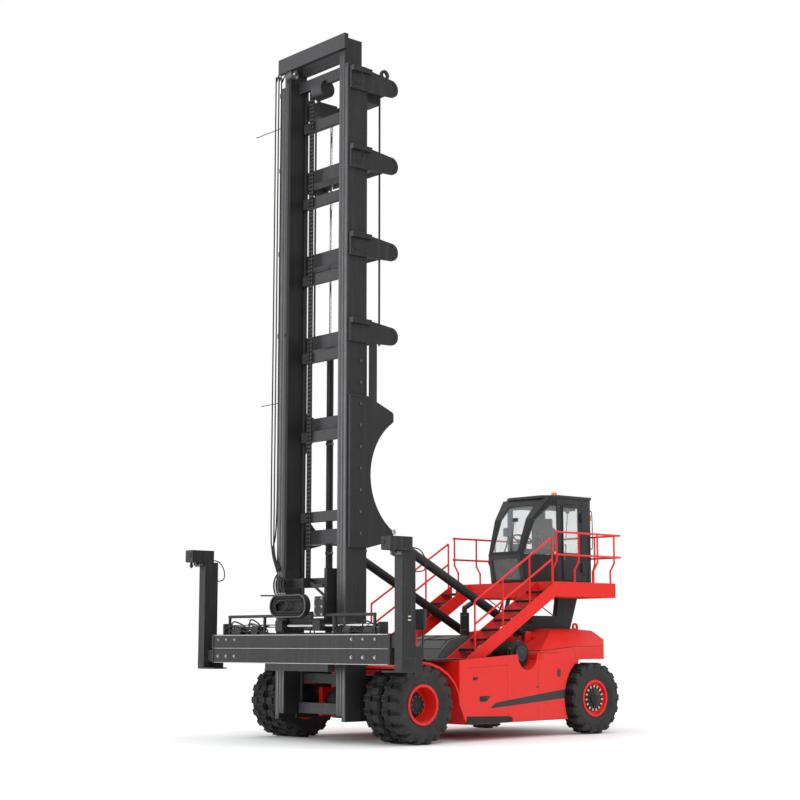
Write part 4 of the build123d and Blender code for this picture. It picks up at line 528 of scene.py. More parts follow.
NODES_OF_FINISH = {
    "front_tread": ("front_tyres_left", "front_tyres_right"),
    "rear_tread": ("rear_tyre_left", "rear_tyre_right"),
    "rim_paint": ("front_rims_left", "front_rims_right", "rear_rim_left", "rear_rim_right"),
    "red_paint": ("chassis_frame", "platform", "platform_rails", "stairs", "grab_rail"),
    "body_paint": ("side_bodies",),
    "hood_paint": ("rear_hood",),
    "black_paint": ("drive_axle", "steer_axle", "knuckle_left", "knuckle_right", "cab_column", "exhaust_stack",
                    "air_cleaner", "cable_tray"),
    "tread_plate": ("deck",),
    "cab_paint": ("cab_shell", "cab_roof", "cab_door"),
    "engine_iron": ("engine",),
    "cover_paint": ("engine_cover",),
    "bright_can": ("bay_canister",),
    "black_plastic": ("mirrors", "cab_fittings"),
    "amber_lens": ("beacon", "lamps"),
    "bright_rod": ("guide_bar", "tilt_rod_left", "tilt_rod_right", "lift_rods"),
    "spreader_paint": ("carriage", "spreader_beam", "spreader_arm_left", "spreader_arm_right", "spreader_fittings"),
    "chain_steel": ("lift_chains",),
    "hose_rubber": ("mast_hoses",),
    "pipe_paint": ("lift_pipes",),
    "cab_glass": ("cab_glass", "door_glass"),
}
FINISH_OF_NODE = {node: finish for finish, nodes in NODES_OF_FINISH.items() for node in nodes}


# Surfaces


def place_piece(name, mesh, material, body):
    """An object for a mesh, with its finish, riding on a body of the machine."""
    piece = bpy.data.objects.new(name, mesh)
    bpy.context.scene.collection.objects.link(piece)
    mesh.materials.clear()
    mesh.materials.append(MATERIALS[material])
    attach(piece, body)
    return piece


def mesh_of(name, points, quads, smooth=True):
    """A mesh from an array of points and an array of faces, with its normals pointing outwards."""
    mesh = bpy.data.meshes.new(name)
    mesh.from_pydata(points.reshape(-1, 3).tolist(), [], quads.tolist())
    work = bmesh.new()
    work.from_mesh(mesh)
    bmesh.ops.remove_doubles(work, verts=work.verts, dist=1e-6)
    bmesh.ops.recalc_face_normals(work, faces=work.faces)
    work.to_mesh(mesh)
    work.free()
    if smooth:
        mesh.polygons.foreach_set("use_smooth", np.ones(len(mesh.polygons), bool))
    return mesh


def grid_faces(rows, columns, wrap_rows=False, wrap_columns=False):
    """Four-sided faces of a grid of points, joined round where a direction wraps."""
    across = np.arange(rows if wrap_rows else rows - 1)
    along_it = np.arange(columns if wrap_columns else columns - 1)
    first, second = np.meshgrid(across, along_it, indexing="ij")
    after, beside = (first + 1) % rows, (second + 1) % columns
    faces = np.stack([
        first * columns + second, after * columns + second, after * columns + beside, first * columns + beside,
    ], axis=-1)
    return faces.reshape(-1, 4)


def revolved(profile, steps=24):
    """Ring of points: each (radius, height) of the profile turned round Z by the cosine and sine of the step."""
    turn = np.linspace(0, 2 * np.pi, steps, endpoint=False)
    radius, height = np.asarray(profile, float).T[:, :, None]
    points = np.stack([radius * np.cos(turn), radius * np.sin(turn), height + 0 * turn], axis=-1)
    return points, grid_faces(len(profile), steps, wrap_columns=True)


def frame_to(normal, spin=0.0):
    """Three axes as columns: the last is the normal, the first two span the face and are turned by the spin."""
    normal = np.asarray(normal, float)
    normal = normal / np.linalg.norm(normal)
    helper = np.array([0.0, 0.0, 1.0]) if abs(normal[2]) < 0.9 else np.array([1.0, 0.0, 0.0])
    first = np.cross(helper, normal)
    first /= np.linalg.norm(first)
    second = np.cross(normal, first)
    turned = first * math.cos(spin) + second * math.sin(spin)
    return np.stack([turned, np.cross(normal, turned), normal], axis=1)


def many(points, faces, places, axes):
    """Copies of one shape: each place gets the shape's points turned into its axes and moved there."""
    places = np.asarray(places, float).reshape(-1, 3)
    axes = np.broadcast_to(axes, (len(places), 3, 3))
    flat = points.reshape(-1, 3)
    spread = np.einsum("nij,pj->npi", axes, flat) + places[:, None, :]
    steps = np.arange(len(places))[:, None, None] * len(flat)
    return spread.reshape(-1, 3), (faces[None] + steps).reshape(-1, faces.shape[-1])


def bolt_shape(across, height, washer=1.35):
    """Hex head on a washer: rings of six points whose radius steps from the washer's to the chamfered head's."""
    reach = across / 2 / math.cos(math.pi / 6)
    return revolved((
        (reach * washer, 0.0), (reach * washer, height * 0.22), (reach, height * 0.22), (reach, height * 0.86),
        (reach * 0.82, height), (0.0, height),
    ), 6)


def swept_tube(path, radius, sides=10):
    """Round tube: a circle in the plane across the path's direction, carried along every point of the path."""
    path = np.asarray(path, float)
    along_path = np.gradient(path, axis=0)
    along_path /= np.linalg.norm(along_path, axis=1, keepdims=True)
    helper = np.array([0.31, 0.17, 0.93])
    first = np.cross(along_path, helper)
    first /= np.linalg.norm(first, axis=1, keepdims=True)
    second = np.cross(along_path, first)
    turn = np.linspace(0, 2 * np.pi, sides, endpoint=False)
    ring = first[:, None] * np.cos(turn)[:, None] + second[:, None] * np.sin(turn)[:, None]
    points = path[:, None] + ring * radius
    points = np.concatenate([path[:1, None] + 0 * ring[:1], points, path[-1:, None] + 0 * ring[-1:]])
    return points, grid_faces(len(points), sides, wrap_columns=True)


def smooth_path(corners, per_span=10):
    """Catmull-Rom curve through the corners: each span is a cubic of the four corners round it."""
    corners = np.asarray(corners, float)
    padded = np.vstack([2 * corners[0] - corners[1], corners, 2 * corners[-1] - corners[-2]])
    share = np.linspace(0, 1, per_span, endpoint=False)[:, None]
    before, start, end, after = padded[:-3], padded[1:-2], padded[2:-1], padded[3:]
    spans = 0.5 * (
        2 * start[:, None] + (end - before)[:, None] * share
        + (2 * before - 5 * start + 4 * end - after)[:, None] * share ** 2
        + (3 * start - before - 3 * end + after)[:, None] * share ** 3
    )
    return np.vstack([spans.reshape(-1, 3), corners[-1:]])


def joined(shapes):
    """Several (points, faces) shapes as one, for a piece with many like parts."""
    points, faces, count = [], [], 0
    for shape_points, shape_faces in shapes:
        flat = shape_points.reshape(-1, 3)
        points.append(flat)
        faces.append(shape_faces + count)
        count += len(flat)
    return np.vstack(points), np.vstack(faces)


def superellipsoid(rise, turn, power):
    """X, Y and Z of a ball drawn towards a box: its cosines and sines raised to a small power, signs kept."""
    def soft(value):
        return np.sign(value) * np.abs(value) ** power

    x = soft(np.cos(rise)) * soft(np.cos(turn))
    y = soft(np.cos(rise)) * soft(np.sin(turn))
    return x, y, soft(np.sin(rise)) + 0 * turn


def soft_box(low, high, power=0.14, steps=9):
    """Box with rounded edges: a superellipsoid whose poles are drawn to points."""
    low, high = np.asarray(low, float), np.asarray(high, float)
    rise = np.linspace(-np.pi / 2, np.pi / 2, steps)[:, None]
    turn = np.linspace(-np.pi, np.pi, 2 * (steps - 1), endpoint=False)[None] + np.pi / (2 * (steps - 1))
    x, y, z = superellipsoid(rise, turn, power)
    x[[0, -1]], y[[0, -1]] = 0.0, 0.0
    points = (low + high) / 2 + np.stack([x, y, z], axis=-1) * (high - low) / 2
    return points, grid_faces(steps, 2 * (steps - 1), wrap_columns=True)


def block(low, high, power=0.14, steps=9):
    """Soft box between two corners given as (X, distance behind the drive axle, Z)."""
    return soft_box(*[(x, along(distance), z) for x, distance, z in (low, high)], power, steps)


def bent(places, radius, sides=8, per_span=6):
    """Round tube along a smooth path through (X, distance, Z) places."""
    return swept_tube(smooth_path([(x, along(d), z) for x, d, z in places], per_span), radius, sides)


def bevelled_plate(outline, thickness, chamfer=0.002):
    """Plate from a convex outline: rings of it, drawn towards its middle by the chamfer at both faces."""
    outline = np.asarray(outline, float)
    middle = outline.mean(0)
    away = outline - middle
    small = middle + away * (1 - chamfer / np.linalg.norm(away, axis=1, keepdims=True))
    rings = (
        (middle + 0 * outline, 0.0), (small, 0.0), (outline, chamfer), (outline, thickness - chamfer),
        (small, thickness), (middle + 0 * outline, thickness),
    )
    points = np.stack([np.column_stack([ring, np.full(len(outline), height)]) for ring, height in rings])
    return points, grid_faces(len(rings), len(outline), wrap_columns=True)


def arc_band(centre, radius, width, thickness, start, stop, steps=24):
    """Curved raised bar: a rectangle with cut corners carried round an arc from one angle to the other."""
    turn = np.radians(np.linspace(start, stop, steps))[:, None]
    across = np.array([-0.5, -0.5, -0.35, 0.35, 0.5, 0.5]) * width
    up = np.array([0.0, 0.7, 1.0, 1.0, 0.7, 0.0]) * thickness
    reach = radius + across[None]
    points = np.stack([centre[0] + reach * np.cos(turn), centre[1] + reach * np.sin(turn), up + 0 * turn], -1)
    ends = points.mean(axis=1, keepdims=True)
    points = np.concatenate([ends[:1] + 0 * points[:1], points, ends[-1:] + 0 * points[-1:]])
    return points, grid_faces(steps + 2, 6, wrap_columns=True)


def moved(shape, origin, axes=None):
    """A shape turned into three axes and moved to an origin."""
    points, faces = shape
    axes = np.eye(3) if axes is None else np.asarray(axes, float)
    return np.einsum("ij,...j->...i", axes, points) + np.asarray(origin, float), faces


def turned(profile, place, direction=None, steps=32):
    """A profile revolved round a direction through an (X, distance, Z) place."""
    x, distance, z = place
    axes = None if direction is None else frame_to(direction)
    return moved(revolved(profile, steps), (x, along(distance), z), axes)


def mirrored(shape):
    """The shape on the other side of the machine."""
    points, faces = shape
    return points * np.array([-1.0, 1.0, 1.0]), faces


def both_sides(shapes):
    """The left-hand shapes and their twins on the right."""
    return list(shapes) + [mirrored(shape) for shape in shapes]


def piece_of(name, shapes, material, body, smooth=True):
    """One piece from several shapes, with its finish, on its body."""
    points, faces = joined(shapes)
    return place_piece(name, mesh_of(name, points, faces, smooth), material, body)


SIDE_AXES = np.array([[0.0, 0.0, 1.0], [1.0, 0.0, 0.0], [0.0, 1.0, 0.0]])


def rounded_outline(y, z, half_y, half_z, power=0.5, steps=24):
    """Outline of a superellipse round a middle: round at power 1, nearly a rectangle at small powers."""
    turn = np.linspace(0, 2 * np.pi, steps, endpoint=False)
    across = np.sign(np.cos(turn)) * np.abs(np.cos(turn)) ** power
    up = np.sign(np.sin(turn)) * np.abs(np.sin(turn)) ** power
    return np.column_stack([y + half_y * across, z + half_z * up])


# Settings


class HandlerSettings(bpy.types.PropertyGroup):
    """Colours and sizes that a user would change."""

    red_paint: FloatVectorProperty(
        name="Red paint", description="Colour of the chassis, stairs and rims", subtype="COLOR",
        default=(0.78, 0.017, 0.011), min=0.0, max=1.0)
    mast_paint: FloatVectorProperty(
        name="Mast paint", description="Colour of the mast, carriage and spreader", subtype="COLOR",
        default=(0.0155, 0.0157, 0.0165), min=0.0, max=1.0)
    black_paint: FloatVectorProperty(
        name="Black paint", description="Colour of the cab, deck and axles", subtype="COLOR",
        default=(0.011, 0.011, 0.012), min=0.0, max=1.0)
    pad_swell: FloatProperty(
        name="Pad swell", description="How far the seat's cloth may move out", subtype="DISTANCE", unit="LENGTH",
        default=0.014, min=0.0, max=0.05)
    bolt_across: FloatProperty(
        name="Bolt size", description="Width across the flats of the spreader's bolts", subtype="DISTANCE",
        unit="LENGTH", default=0.048, min=0.01, max=0.1)
    wheel_nuts: IntProperty(
        name="Nut pointers", description="Pale nut pointers round one rear hub", default=15, min=4, max=32)
    camera_lens: FloatProperty(
        name="Camera lens", description="Focal length on a 36 mm wide sensor", default=73.58, min=10.0, max=300.0)


# Operators


class HANDLER_OT_finishes(bpy.types.Operator):
    """Build the finishes and give every machined and welded piece its own"""

    bl_idname = "handler.finishes"
    bl_label = "Finishes"

    def execute(self, context):
        build_groups()
        build_materials(context.scene.handler)
        for name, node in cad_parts.items():
            node.data.materials.clear()
            node.data.materials.append(MATERIALS[FINISH_OF_NODE.get(name, "mast_paint")])
        return {"FINISHED"}


def pad_mesh(name, low, high, crown, pinch, steps=22):
    """Crowned pad in a box: a superellipsoid whose height falls by crown away from its middle, and whose
    sides are pulled in by pinch between the corners."""
    low, high = np.asarray(low, float), np.asarray(high, float)
    middle, half = (low + high) / 2, (high - low) / 2
    rise = np.linspace(-np.pi / 2, np.pi / 2, steps)[:, None]
    turn = np.linspace(-np.pi, np.pi, steps * 2, endpoint=False)[None]
    x, y, z = superellipsoid(rise, turn, 0.28)
    side = 1 - pinch * (np.abs(x) < 0.98) * (1 - y ** 2)
    points = np.stack([x * side, y, z * (1 - crown * np.minimum(x ** 2 + y ** 2, 1.0))], axis=-1)
    points = middle + points * half
    points[0], points[-1] = points[0].mean(0), points[-1].mean(0)
    return mesh_of(name, points, grid_faces(steps, steps * 2, wrap_columns=True))


def inflate(piece, pressure, cap, voxel=0.012):
    """Swells a closed pad: an even mesh under cloth pressure with no gravity, with each point's move capped."""
    mesh = piece.data
    remesh = piece.modifiers.new("even", "REMESH")
    remesh.mode = "VOXEL"
    remesh.voxel_size = voxel
    depsgraph = bpy.context.evaluated_depsgraph_get()
    piece.data = bpy.data.meshes.new_from_object(piece.evaluated_get(depsgraph))
    piece.modifiers.clear()
    bpy.data.meshes.remove(mesh)
    start = np.zeros(len(piece.data.vertices) * 3, np.float32)
    piece.data.vertices.foreach_get("co", start)
    cloth = piece.modifiers.new("fill", "CLOTH")
    cloth.settings.use_pressure = True
    cloth.settings.uniform_pressure_force = pressure
    cloth.settings.effector_weights.gravity = 0.0
    cloth.settings.quality = 4
    scene = bpy.context.scene
    for number in range(1, 16):
        scene.frame_set(number)
    depsgraph = bpy.context.evaluated_depsgraph_get()
    filled = bpy.data.meshes.new_from_object(piece.evaluated_get(depsgraph))
    swollen = np.zeros(len(filled.vertices) * 3, np.float32)
    filled.vertices.foreach_get("co", swollen)
    step = (swollen - start).reshape(-1, 3)
    length = np.linalg.norm(step, axis=1, keepdims=True)
    step *= np.minimum(1.0, cap / np.maximum(length, 1e-9))
    filled.vertices.foreach_set("co", (start.reshape(-1, 3) + step).ravel())
    piece.modifiers.clear()
    old = piece.data
    piece.data = filled
    bpy.data.meshes.remove(old)
    scene.frame_set(1)


class HANDLER_OT_seat(bpy.types.Operator):
    """Pad the driver's seat: a swollen cushion and back in woven cloth"""

    bl_idname = "handler.seat"
    bl_label = "Seat"

    def execute(self, context):
        swell = context.scene.handler.pad_swell
        for node in ("seat_cushion", "seat_back"):
            low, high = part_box(node)
            inset = Vector((swell, swell, swell))
            mesh = pad_mesh(node + "_pad", low + inset, high - inset, 0.10, 0.05)
            piece = place_piece(node + "_pad", mesh, "seat_cloth", "chassis")
            inflate(piece, 4.0, swell)
            piece.data.materials.clear()
            piece.data.materials.append(MATERIALS["seat_cloth"])
            piece.data.polygons.foreach_set("use_smooth", np.ones(len(piece.data.polygons), bool))
            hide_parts(node)
        return {"FINISHED"}


class HANDLER_OT_bolts(bpy.types.Operator):
    """Bolt the spreader beam's ends, the mast's hook plates and its claws"""

    bl_idname = "handler.bolts"
    bl_label = "Bolts"

    def execute(self, context):
        across = context.scene.handler.bolt_across
        low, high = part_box("spreader_beam")
        near, far = (1.556, 1.860, 2.172), (-1.830, -2.090, -2.347)
        upper = low.z + (high.z - low.z) * 0.83
        lower = low.z + (high.z - low.z) * 0.235
        forward = frame_to(FORWARD, 0.3)
        shapes = [
            many(*bolt_shape(across * 0.85, across * 0.5), [(x, low.y, upper) for x in near + far], forward),
            many(*bolt_shape(across, across * 0.6), [(x, low.y, lower) for x in near + far], forward),
        ]
        piece_of("spreader_bolts", shapes, "pale_steel", "spreader", False)

        plate_low, plate_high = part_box("hook_plates")
        places = [(plate_high.x, along(-0.62), z) for z in np.linspace(plate_low.z + 0.25, plate_high.z - 0.35, 9)]
        shapes = both_sides([many(*bolt_shape(across * 0.8, 0.018), places, frame_to(LEFT))])
        piece_of("hook_plate_bolts", shapes, "bolt_steel", "mast", False)

        places = [(1.046, along(distance), top - drop) for top in CLAW_TOPS for drop in (0.07, 0.35)
                  for distance in (-0.83, -0.50)]
        shapes = both_sides([many(*bolt_shape(across * 0.6, 0.012), places, frame_to(LEFT))])
        piece_of("claw_bolts", shapes, "mast_paint", "mast", False)
        return {"FINISHED"}


# How deep the rear rim's disc lies in it, and X of the front rim's disc and of its hub's end
RIM_DISH, FRONT_DISC_X, FRONT_CAP_X = 0.085, 1.725, 1.855
# Profiles of the hubs as (radius, height out of the wheel)
REAR_HUB = (
    (0.0, 0.0), (0.252, 0.0), (0.256, 0.012), (0.250, 0.024), (0.200, 0.028), (0.188, 0.034), (0.150, 0.036),
    (0.142, 0.050), (0.120, 0.060), (0.070, 0.064), (0.060, 0.072), (0.0, 0.074),
)
REAR_CAP = (
    (0.128, 0.004), (0.140, 0.004), (0.140, 0.086), (0.132, 0.092), (0.090, 0.096), (0.084, 0.104), (0.030, 0.106),
    (0.0, 0.106),
)
FRONT_HUB = (
    (0.170, 0.001), (0.236, 0.001), (0.238, 0.010), (0.200, 0.014), (0.186, 0.020), (0.180, 0.030), (0.178, 0.128),
    (0.170, 0.136), (0.110, 0.138), (0.104, 0.146), (0.060, 0.150), (0.0, 0.150),
)


class HANDLER_OT_hubs(bpy.types.Operator):
    """Close the wheels' hubs: a dark cap with pale nut pointers at the rear, a bolted cap at the front"""

    bl_idname = "handler.hubs"
    bl_label = "Hubs"

    def execute(self, context):
        count = context.scene.handler.wheel_nuts
        turn = np.linspace(0, 2 * np.pi, count, endpoint=False)
        for side, sign in (("left", 1), ("right", -1)):
            outward = frame_to((sign, 0, 0))
            low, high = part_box(f"rear_rim_{side}")
            middle = (low + high) / 2
            face = (high.x if sign > 0 else low.x) - sign * RIM_DISH
            centre = np.array([face, middle.y, middle.z])
            body = f"rear_wheel_{side}"
            cap = moved(revolved(REAR_HUB, 48), centre, outward)
            piece_of(f"rear_hub_{side}", [cap], "hub_paint", body)
            wedge = bevelled_plate([(-0.010, 0.200), (0.010, 0.200), (0.017, 0.247), (-0.017, 0.247)], 0.016)
            spin = np.zeros((count, 3, 3))
            spin[:, 0, 0], spin[:, 0, 1] = np.cos(turn), -np.sin(turn)
            spin[:, 1, 0], spin[:, 1, 1] = np.sin(turn), np.cos(turn)
            spin[:, 2, 2] = 1.0
            points, faces = many(*wedge, np.zeros((count, 3)), spin)
            pointers = moved((points + np.array([0, 0, 0.022]), faces), centre, outward)
            piece_of(f"rear_nuts_{side}", [pointers], "nut_cover", body, False)
            nuts = self.bolt_ring(0.166, 0.032, turn, (0.024, 0.02), centre, outward)
            piece_of(f"rear_studs_{side}", [nuts], "bolt_steel", body, False)
            sleeve = moved(revolved(REAR_CAP, 40), centre, outward)
            piece_of(f"rear_cap_{side}", [sleeve], "hub_paint", body)
            valve = swept_tube(smooth_path([
                (face - sign * 0.02, middle.y + 0.27, middle.z + 0.12),
                (face + sign * 0.02, middle.y + 0.275, middle.z + 0.13),
                (face + sign * 0.06, middle.y + 0.27, middle.z + 0.12),
            ]), 0.006)
            piece_of(f"rear_valve_{side}", [valve], "bolt_steel", body)

            low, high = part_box(f"front_rims_{side}")
            middle = (low + high) / 2
            disc, end = [np.array([sign * x, middle.y, middle.z]) for x in (FRONT_DISC_X, FRONT_CAP_X)]
            body = f"front_wheels_{side}"
            collar = moved(revolved(FRONT_HUB, 48), disc, outward)
            piece_of(f"front_hub_{side}", [collar], "hub_paint", body)
            step = np.linspace(0, 2 * np.pi, 20, endpoint=False)
            bolts = [self.bolt_ring(0.220, 0.010, step, (0.026, 0.022), disc, outward),
                     self.bolt_ring(0.140, 0.008, step[::2], (0.024, 0.014), end, outward)]
            piece_of(f"front_studs_{side}", bolts, "bolt_steel", body, False)
        return {"FINISHED"}

    def bolt_ring(self, radius, height, turn, size, centre, outward):
        """Bolts at the given angles round a wheel's centre."""
        places = np.stack([radius * np.cos(turn), radius * np.sin(turn), height + 0 * turn], -1) @ outward.T
        return many(*bolt_shape(*size), places + centre, outward)


# Profile of a head's camera as (radius, height out of the head)
CAMERA = (
    (0.0, 0.0), (0.036, 0.0), (0.040, 0.006), (0.036, 0.012), (0.030, 0.012), (0.028, 0.004), (0.0, 0.004),
)


def tray_loop(inset_x, inset_z, distance):
    """Closed line inside the round-ended hose tray: two half circles joined by straight runs."""
    half_x, half_z = 0.5245 - inset_x, 0.2075 - inset_z
    turn = np.linspace(0, 2 * np.pi, 49)
    x = (half_x - half_z) * np.sign(np.cos(turn)) + half_z * np.cos(turn) - 0.0845
    return np.stack([x, along(distance) + 0 * turn, 2.3975 + half_z * np.sin(turn)], -1)


class HANDLER_OT_spreader(bpy.types.Operator):
    """Dress the spreader: pale strips of wear and painted highlight, hoses and valves along the beam, cameras and hose
    loops at the heads
    """

    bl_idname = "handler.spreader"
    bl_label = "Spreader"

    def execute(self, context):
        low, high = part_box("spreader_beam")
        forward = frame_to(FORWARD, 0.3)
        middle_z = (low.z + high.z) / 2
        # Pale strips along the beam's top edge, middle seam and bottom edge: partly wear, partly a painted highlight on
        # these edges
        strips = [
            soft_box((low.x + 0.004, low.y - proud, bottom), (high.x - 0.004, low.y + 0.004, upper))
            for proud, bottom, upper in (
                (0.006, high.z - 0.016, high.z + 0.002), (0.007, middle_z + 0.004, middle_z + 0.016),
                (0.004, low.z - 0.002, low.z + 0.012),
            )
        ]
        piece_of("beam_wear_and_highlight_strips", strips, "pale_steel", "spreader")

        # Hoses that run over the beam between their clamps
        top = high.z
        runs = []
        for start, stop, y, lift, radius in (
            (-2.30, 0.30, along(-1.150), 0.040, 0.013), (-2.10, 0.55, along(-1.115), 0.046, 0.013),
            (-1.70, 1.90, along(-1.080), 0.040, 0.014), (-1.30, 2.20, along(-1.045), 0.048, 0.012),
            (-2.20, -0.60, along(-1.190), 0.070, 0.016), (0.70, 2.30, along(-1.185), 0.036, 0.012),
        ):
            share = np.linspace(0, 1, 15)
            wave = 0.012 * np.sin(share * 19.0 + start * 5.0)
            rise = lift + 0.012 * np.cos(share * 11.0 + start)
            ends = np.minimum(share, 1 - share) < 0.04
            across = start + (stop - start) * share
            # Low and straight where the carriage passes over them
            rise = np.where(np.abs(across) < 1.15, 0.018, rise)
            path = np.stack([across, y + wave * (rise > 0.02), top + np.where(ends, 0.008, rise)], -1)
            runs.append(swept_tube(smooth_path(path, 5), radius, 8))
        piece_of("beam_hoses", runs, "hose_rubber", "spreader")
        clamps = [
            block((x - 0.022, -1.215, top - 0.004), (x + 0.022, -1.02, top + 0.018))
            for x in (-2.0, -1.5, -1.0, -0.5, 0.0, 0.5, 1.0, 1.5, 2.0)
        ]
        piece_of("beam_clamps", clamps, "black_paint", "spreader")

        # Valve blocks with their unions on the beam's top
        blocks, unions = [], []
        for x, width, tall in ((-1.86, 0.30, 0.11), (-1.30, 0.22, 0.13), (1.36, 0.18, 0.10), (1.92, 0.26, 0.09)):
            blocks.append(block((x - width / 2, -1.20, top), (x + width / 2, -1.05, top + tall)))
            spots = [(x + step, along(-1.16), top + tall) for step in np.linspace(-width / 3, width / 3, 4)]
            unions.append(many(*bolt_shape(0.034, 0.035), spots, frame_to(UP)))
        piece_of("valve_blocks", blocks, "spreader_paint", "spreader")
        piece_of("valve_unions", unions, "bolt_steel", "spreader", False)

        # Hose loops that stand over each half of the beam
        loops = []
        for step, (start, stop, peak) in enumerate((
            (-2.25, -1.30, 0.16), (-2.10, -1.55, 0.24), (-1.98, -1.10, 0.12), (-1.72, -1.02, 0.20),
            (-1.48, -1.05, 0.27), (1.04, 1.62, 0.15), (1.12, 1.98, 0.20), (1.45, 2.26, 0.13), (1.75, 2.20, 0.22),
        )):
            d = -1.19 + 0.035 * (step % 4)
            span = stop - start
            loops.append(bent([
                (start, d, top + 0.01), (start + 0.04, d - 0.01, top + peak * 0.55),
                (start + 0.25 * span, d - 0.02, top + peak), (start + 0.55 * span, d + 0.02, top + peak * 0.85),
                (stop - 0.05, d + 0.01, top + peak * 0.5), (stop, d, top + 0.01),
            ], 0.014))
        piece_of("beam_loops", loops, "hose_rubber", "spreader")

        # Dark covers over the brackets at the guide bar's ends
        covers = [block((2.207, -1.208, 1.896), (2.255, -1.012, 2.102), 0.08, 7)]
        piece_of("bar_end_covers", both_sides(covers), "spreader_paint", "spreader")

        # Ends of the beam: a pale lip round each mouth, where the arm slides in
        lips = []
        start, stop = high.x - 0.060, high.x - 0.004
        for bottom, upper in ((low.z, middle_z - 0.007), (middle_z + 0.007, high.z)):
            lips += [
                soft_box((start, low.y - 0.010, upper - 0.010), (stop, high.y + 0.010, upper + 0.008)),
                soft_box((start, low.y - 0.012, bottom), (stop, low.y, upper)),
            ]
        piece_of("beam_mouths", both_sides(lips), "spreader_paint", "spreader")

        # Hose tray on the carriage: its pale rim, the hoses laid in it and those that come down to it
        rims = [swept_tube(tray_loop(0.014, 0.014, -1.362), 0.012, 8)]
        piece_of("tray_rim", rims, "rubbed_steel", "carriage")
        laid = []
        for inset, distance in ((0.062, -1.325), (0.092, -1.300), (0.125, -1.335)):
            path = tray_loop(inset, inset * 0.8, distance)[4:44]
            laid.append(swept_tube(smooth_path(path[::3], 5), 0.015, 8))
        laid.append(bent([
            (-0.60, -1.30, 2.36), (-0.40, -1.33, 2.47), (-0.22, -1.34, 2.50), (-0.10, -1.33, 2.43),
            (-0.20, -1.32, 2.33), (-0.42, -1.31, 2.30),
        ], 0.016, per_span=8))
        piece_of("tray_hoses", laid, "hose_rubber", "carriage")
        feeds = (-0.56, -0.49, -0.42, -0.35, -0.28)
        drops = [bent([
            (x, -1.225, 2.98 - 0.03 * step), (x - 0.02, -1.265, 2.90), (x - 0.03, -1.285, 2.80),
            (x - 0.01, -1.290, 2.70), (x + 0.03, -1.295, 2.61),
        ], 0.016) for step, x in enumerate(feeds)]
        piece_of("tray_feeds", drops, "hose_rubber", "carriage")
        spots = [(x + 0.03, along(-1.295), 2.606) for x in feeds]
        piece_of("tray_unions", [many(*bolt_shape(0.036, 0.03), spots, frame_to(UP))], "pale_steel", "carriage",
                 False)
        stay = [(0.42, along(-1.230), 2.80), (0.58, along(-1.230), 2.70), (0.78, along(-1.230), 2.58)]
        bracket = [
            block((0.53, -1.245, 2.20), (0.79, -1.210, 2.56)), swept_tube(stay, 0.024),
            block((0.44, -1.245, 2.72), (0.76, -1.210, 2.77)),
        ]
        piece_of("carriage_bracket", bracket, "spreader_paint", "carriage")
        spots = [(x, along(-1.245), z) for x in (0.57, 0.75) for z in (2.24, 2.38, 2.52)]
        bolts = [many(*bolt_shape(0.034, 0.02), spots, forward)]
        piece_of("bracket_bolts", bolts, "pale_steel", "carriage", False)

        # Camera on each head, its edge strips, and the brackets, sleeve and unions below it
        left, right, front = 2.7365, 2.9665, -1.60
        camera_x, camera_z = 2.8065, 3.405
        camera = [turned(CAMERA, (camera_x, front + 0.004, camera_z), FORWARD, 24)]
        dome = ((0.0, 0.0), (0.020, 0.0), (0.016, 0.010), (0.0, 0.013))
        lens = [turned(dome, (camera_x, front, camera_z), FORWARD, 20)]
        rim = [
            block((left - 0.004, front - 0.004, 3.268), (right + 0.004, -1.096, 3.284)),
            block((left - 0.003, front - 0.003, 3.488), (right + 0.003, -1.098, 3.500)),
        ]
        bracket = [
            block((2.76, -1.42, 3.190), (2.93, -1.305, 3.268)), block((2.80, -1.46, 3.215), (2.90, -1.42, 3.268)),
        ]
        sleeve = [block((left - 0.008, -1.308, 1.262), (right - 0.032, -0.992, 1.500))]
        union = ((0, 0), (0.022, 0), (0.022, 0.02), (0.016, 0.022), (0.016, 0.045), (0, 0.045))
        unions = [turned(union, place, (0, 1, 0), 6) for place in ((2.88, -1.100, 3.325), (2.88, -1.000, 2.930))]
        plates = [block((right - 0.042, -1.17, z), (right - 0.032, -1.11, z + 0.022)) for z in (2.17, 2.11)]
        shapes = {
            "camera": (camera, "black_plastic"), "lens": (lens, "lens_glass"), "rims": (rim, "spreader_paint"),
            "bracket": (bracket, "bolt_steel"), "sleeve": (sleeve, "spreader_paint"),
            "unions": (unions, "bolt_steel"), "plates": (plates, "nut_cover"),
        }
        loop = np.array([
            (2.88, along(-1.06), 3.325), (2.885, along(-0.98), 3.325), (2.89, along(-0.84), 3.290),
            (2.895, along(-0.73), 3.130), (2.89, along(-0.74), 2.960), (2.885, along(-0.86), 2.925),
            (2.88, along(-0.96), 2.930),
        ])
        for side, sign in (("left", 1), ("right", -1)):
            for label, (parts, finish) in shapes.items():
                parts = parts if sign > 0 else [mirrored(part) for part in parts]
                piece_of(f"head_{label}_{side}", parts, finish, f"arm_{side}")
            self.loop(f"head_hose_{side}", loop * np.array([sign, 1, 1]), f"arm_{side}")
        return {"FINISHED"}

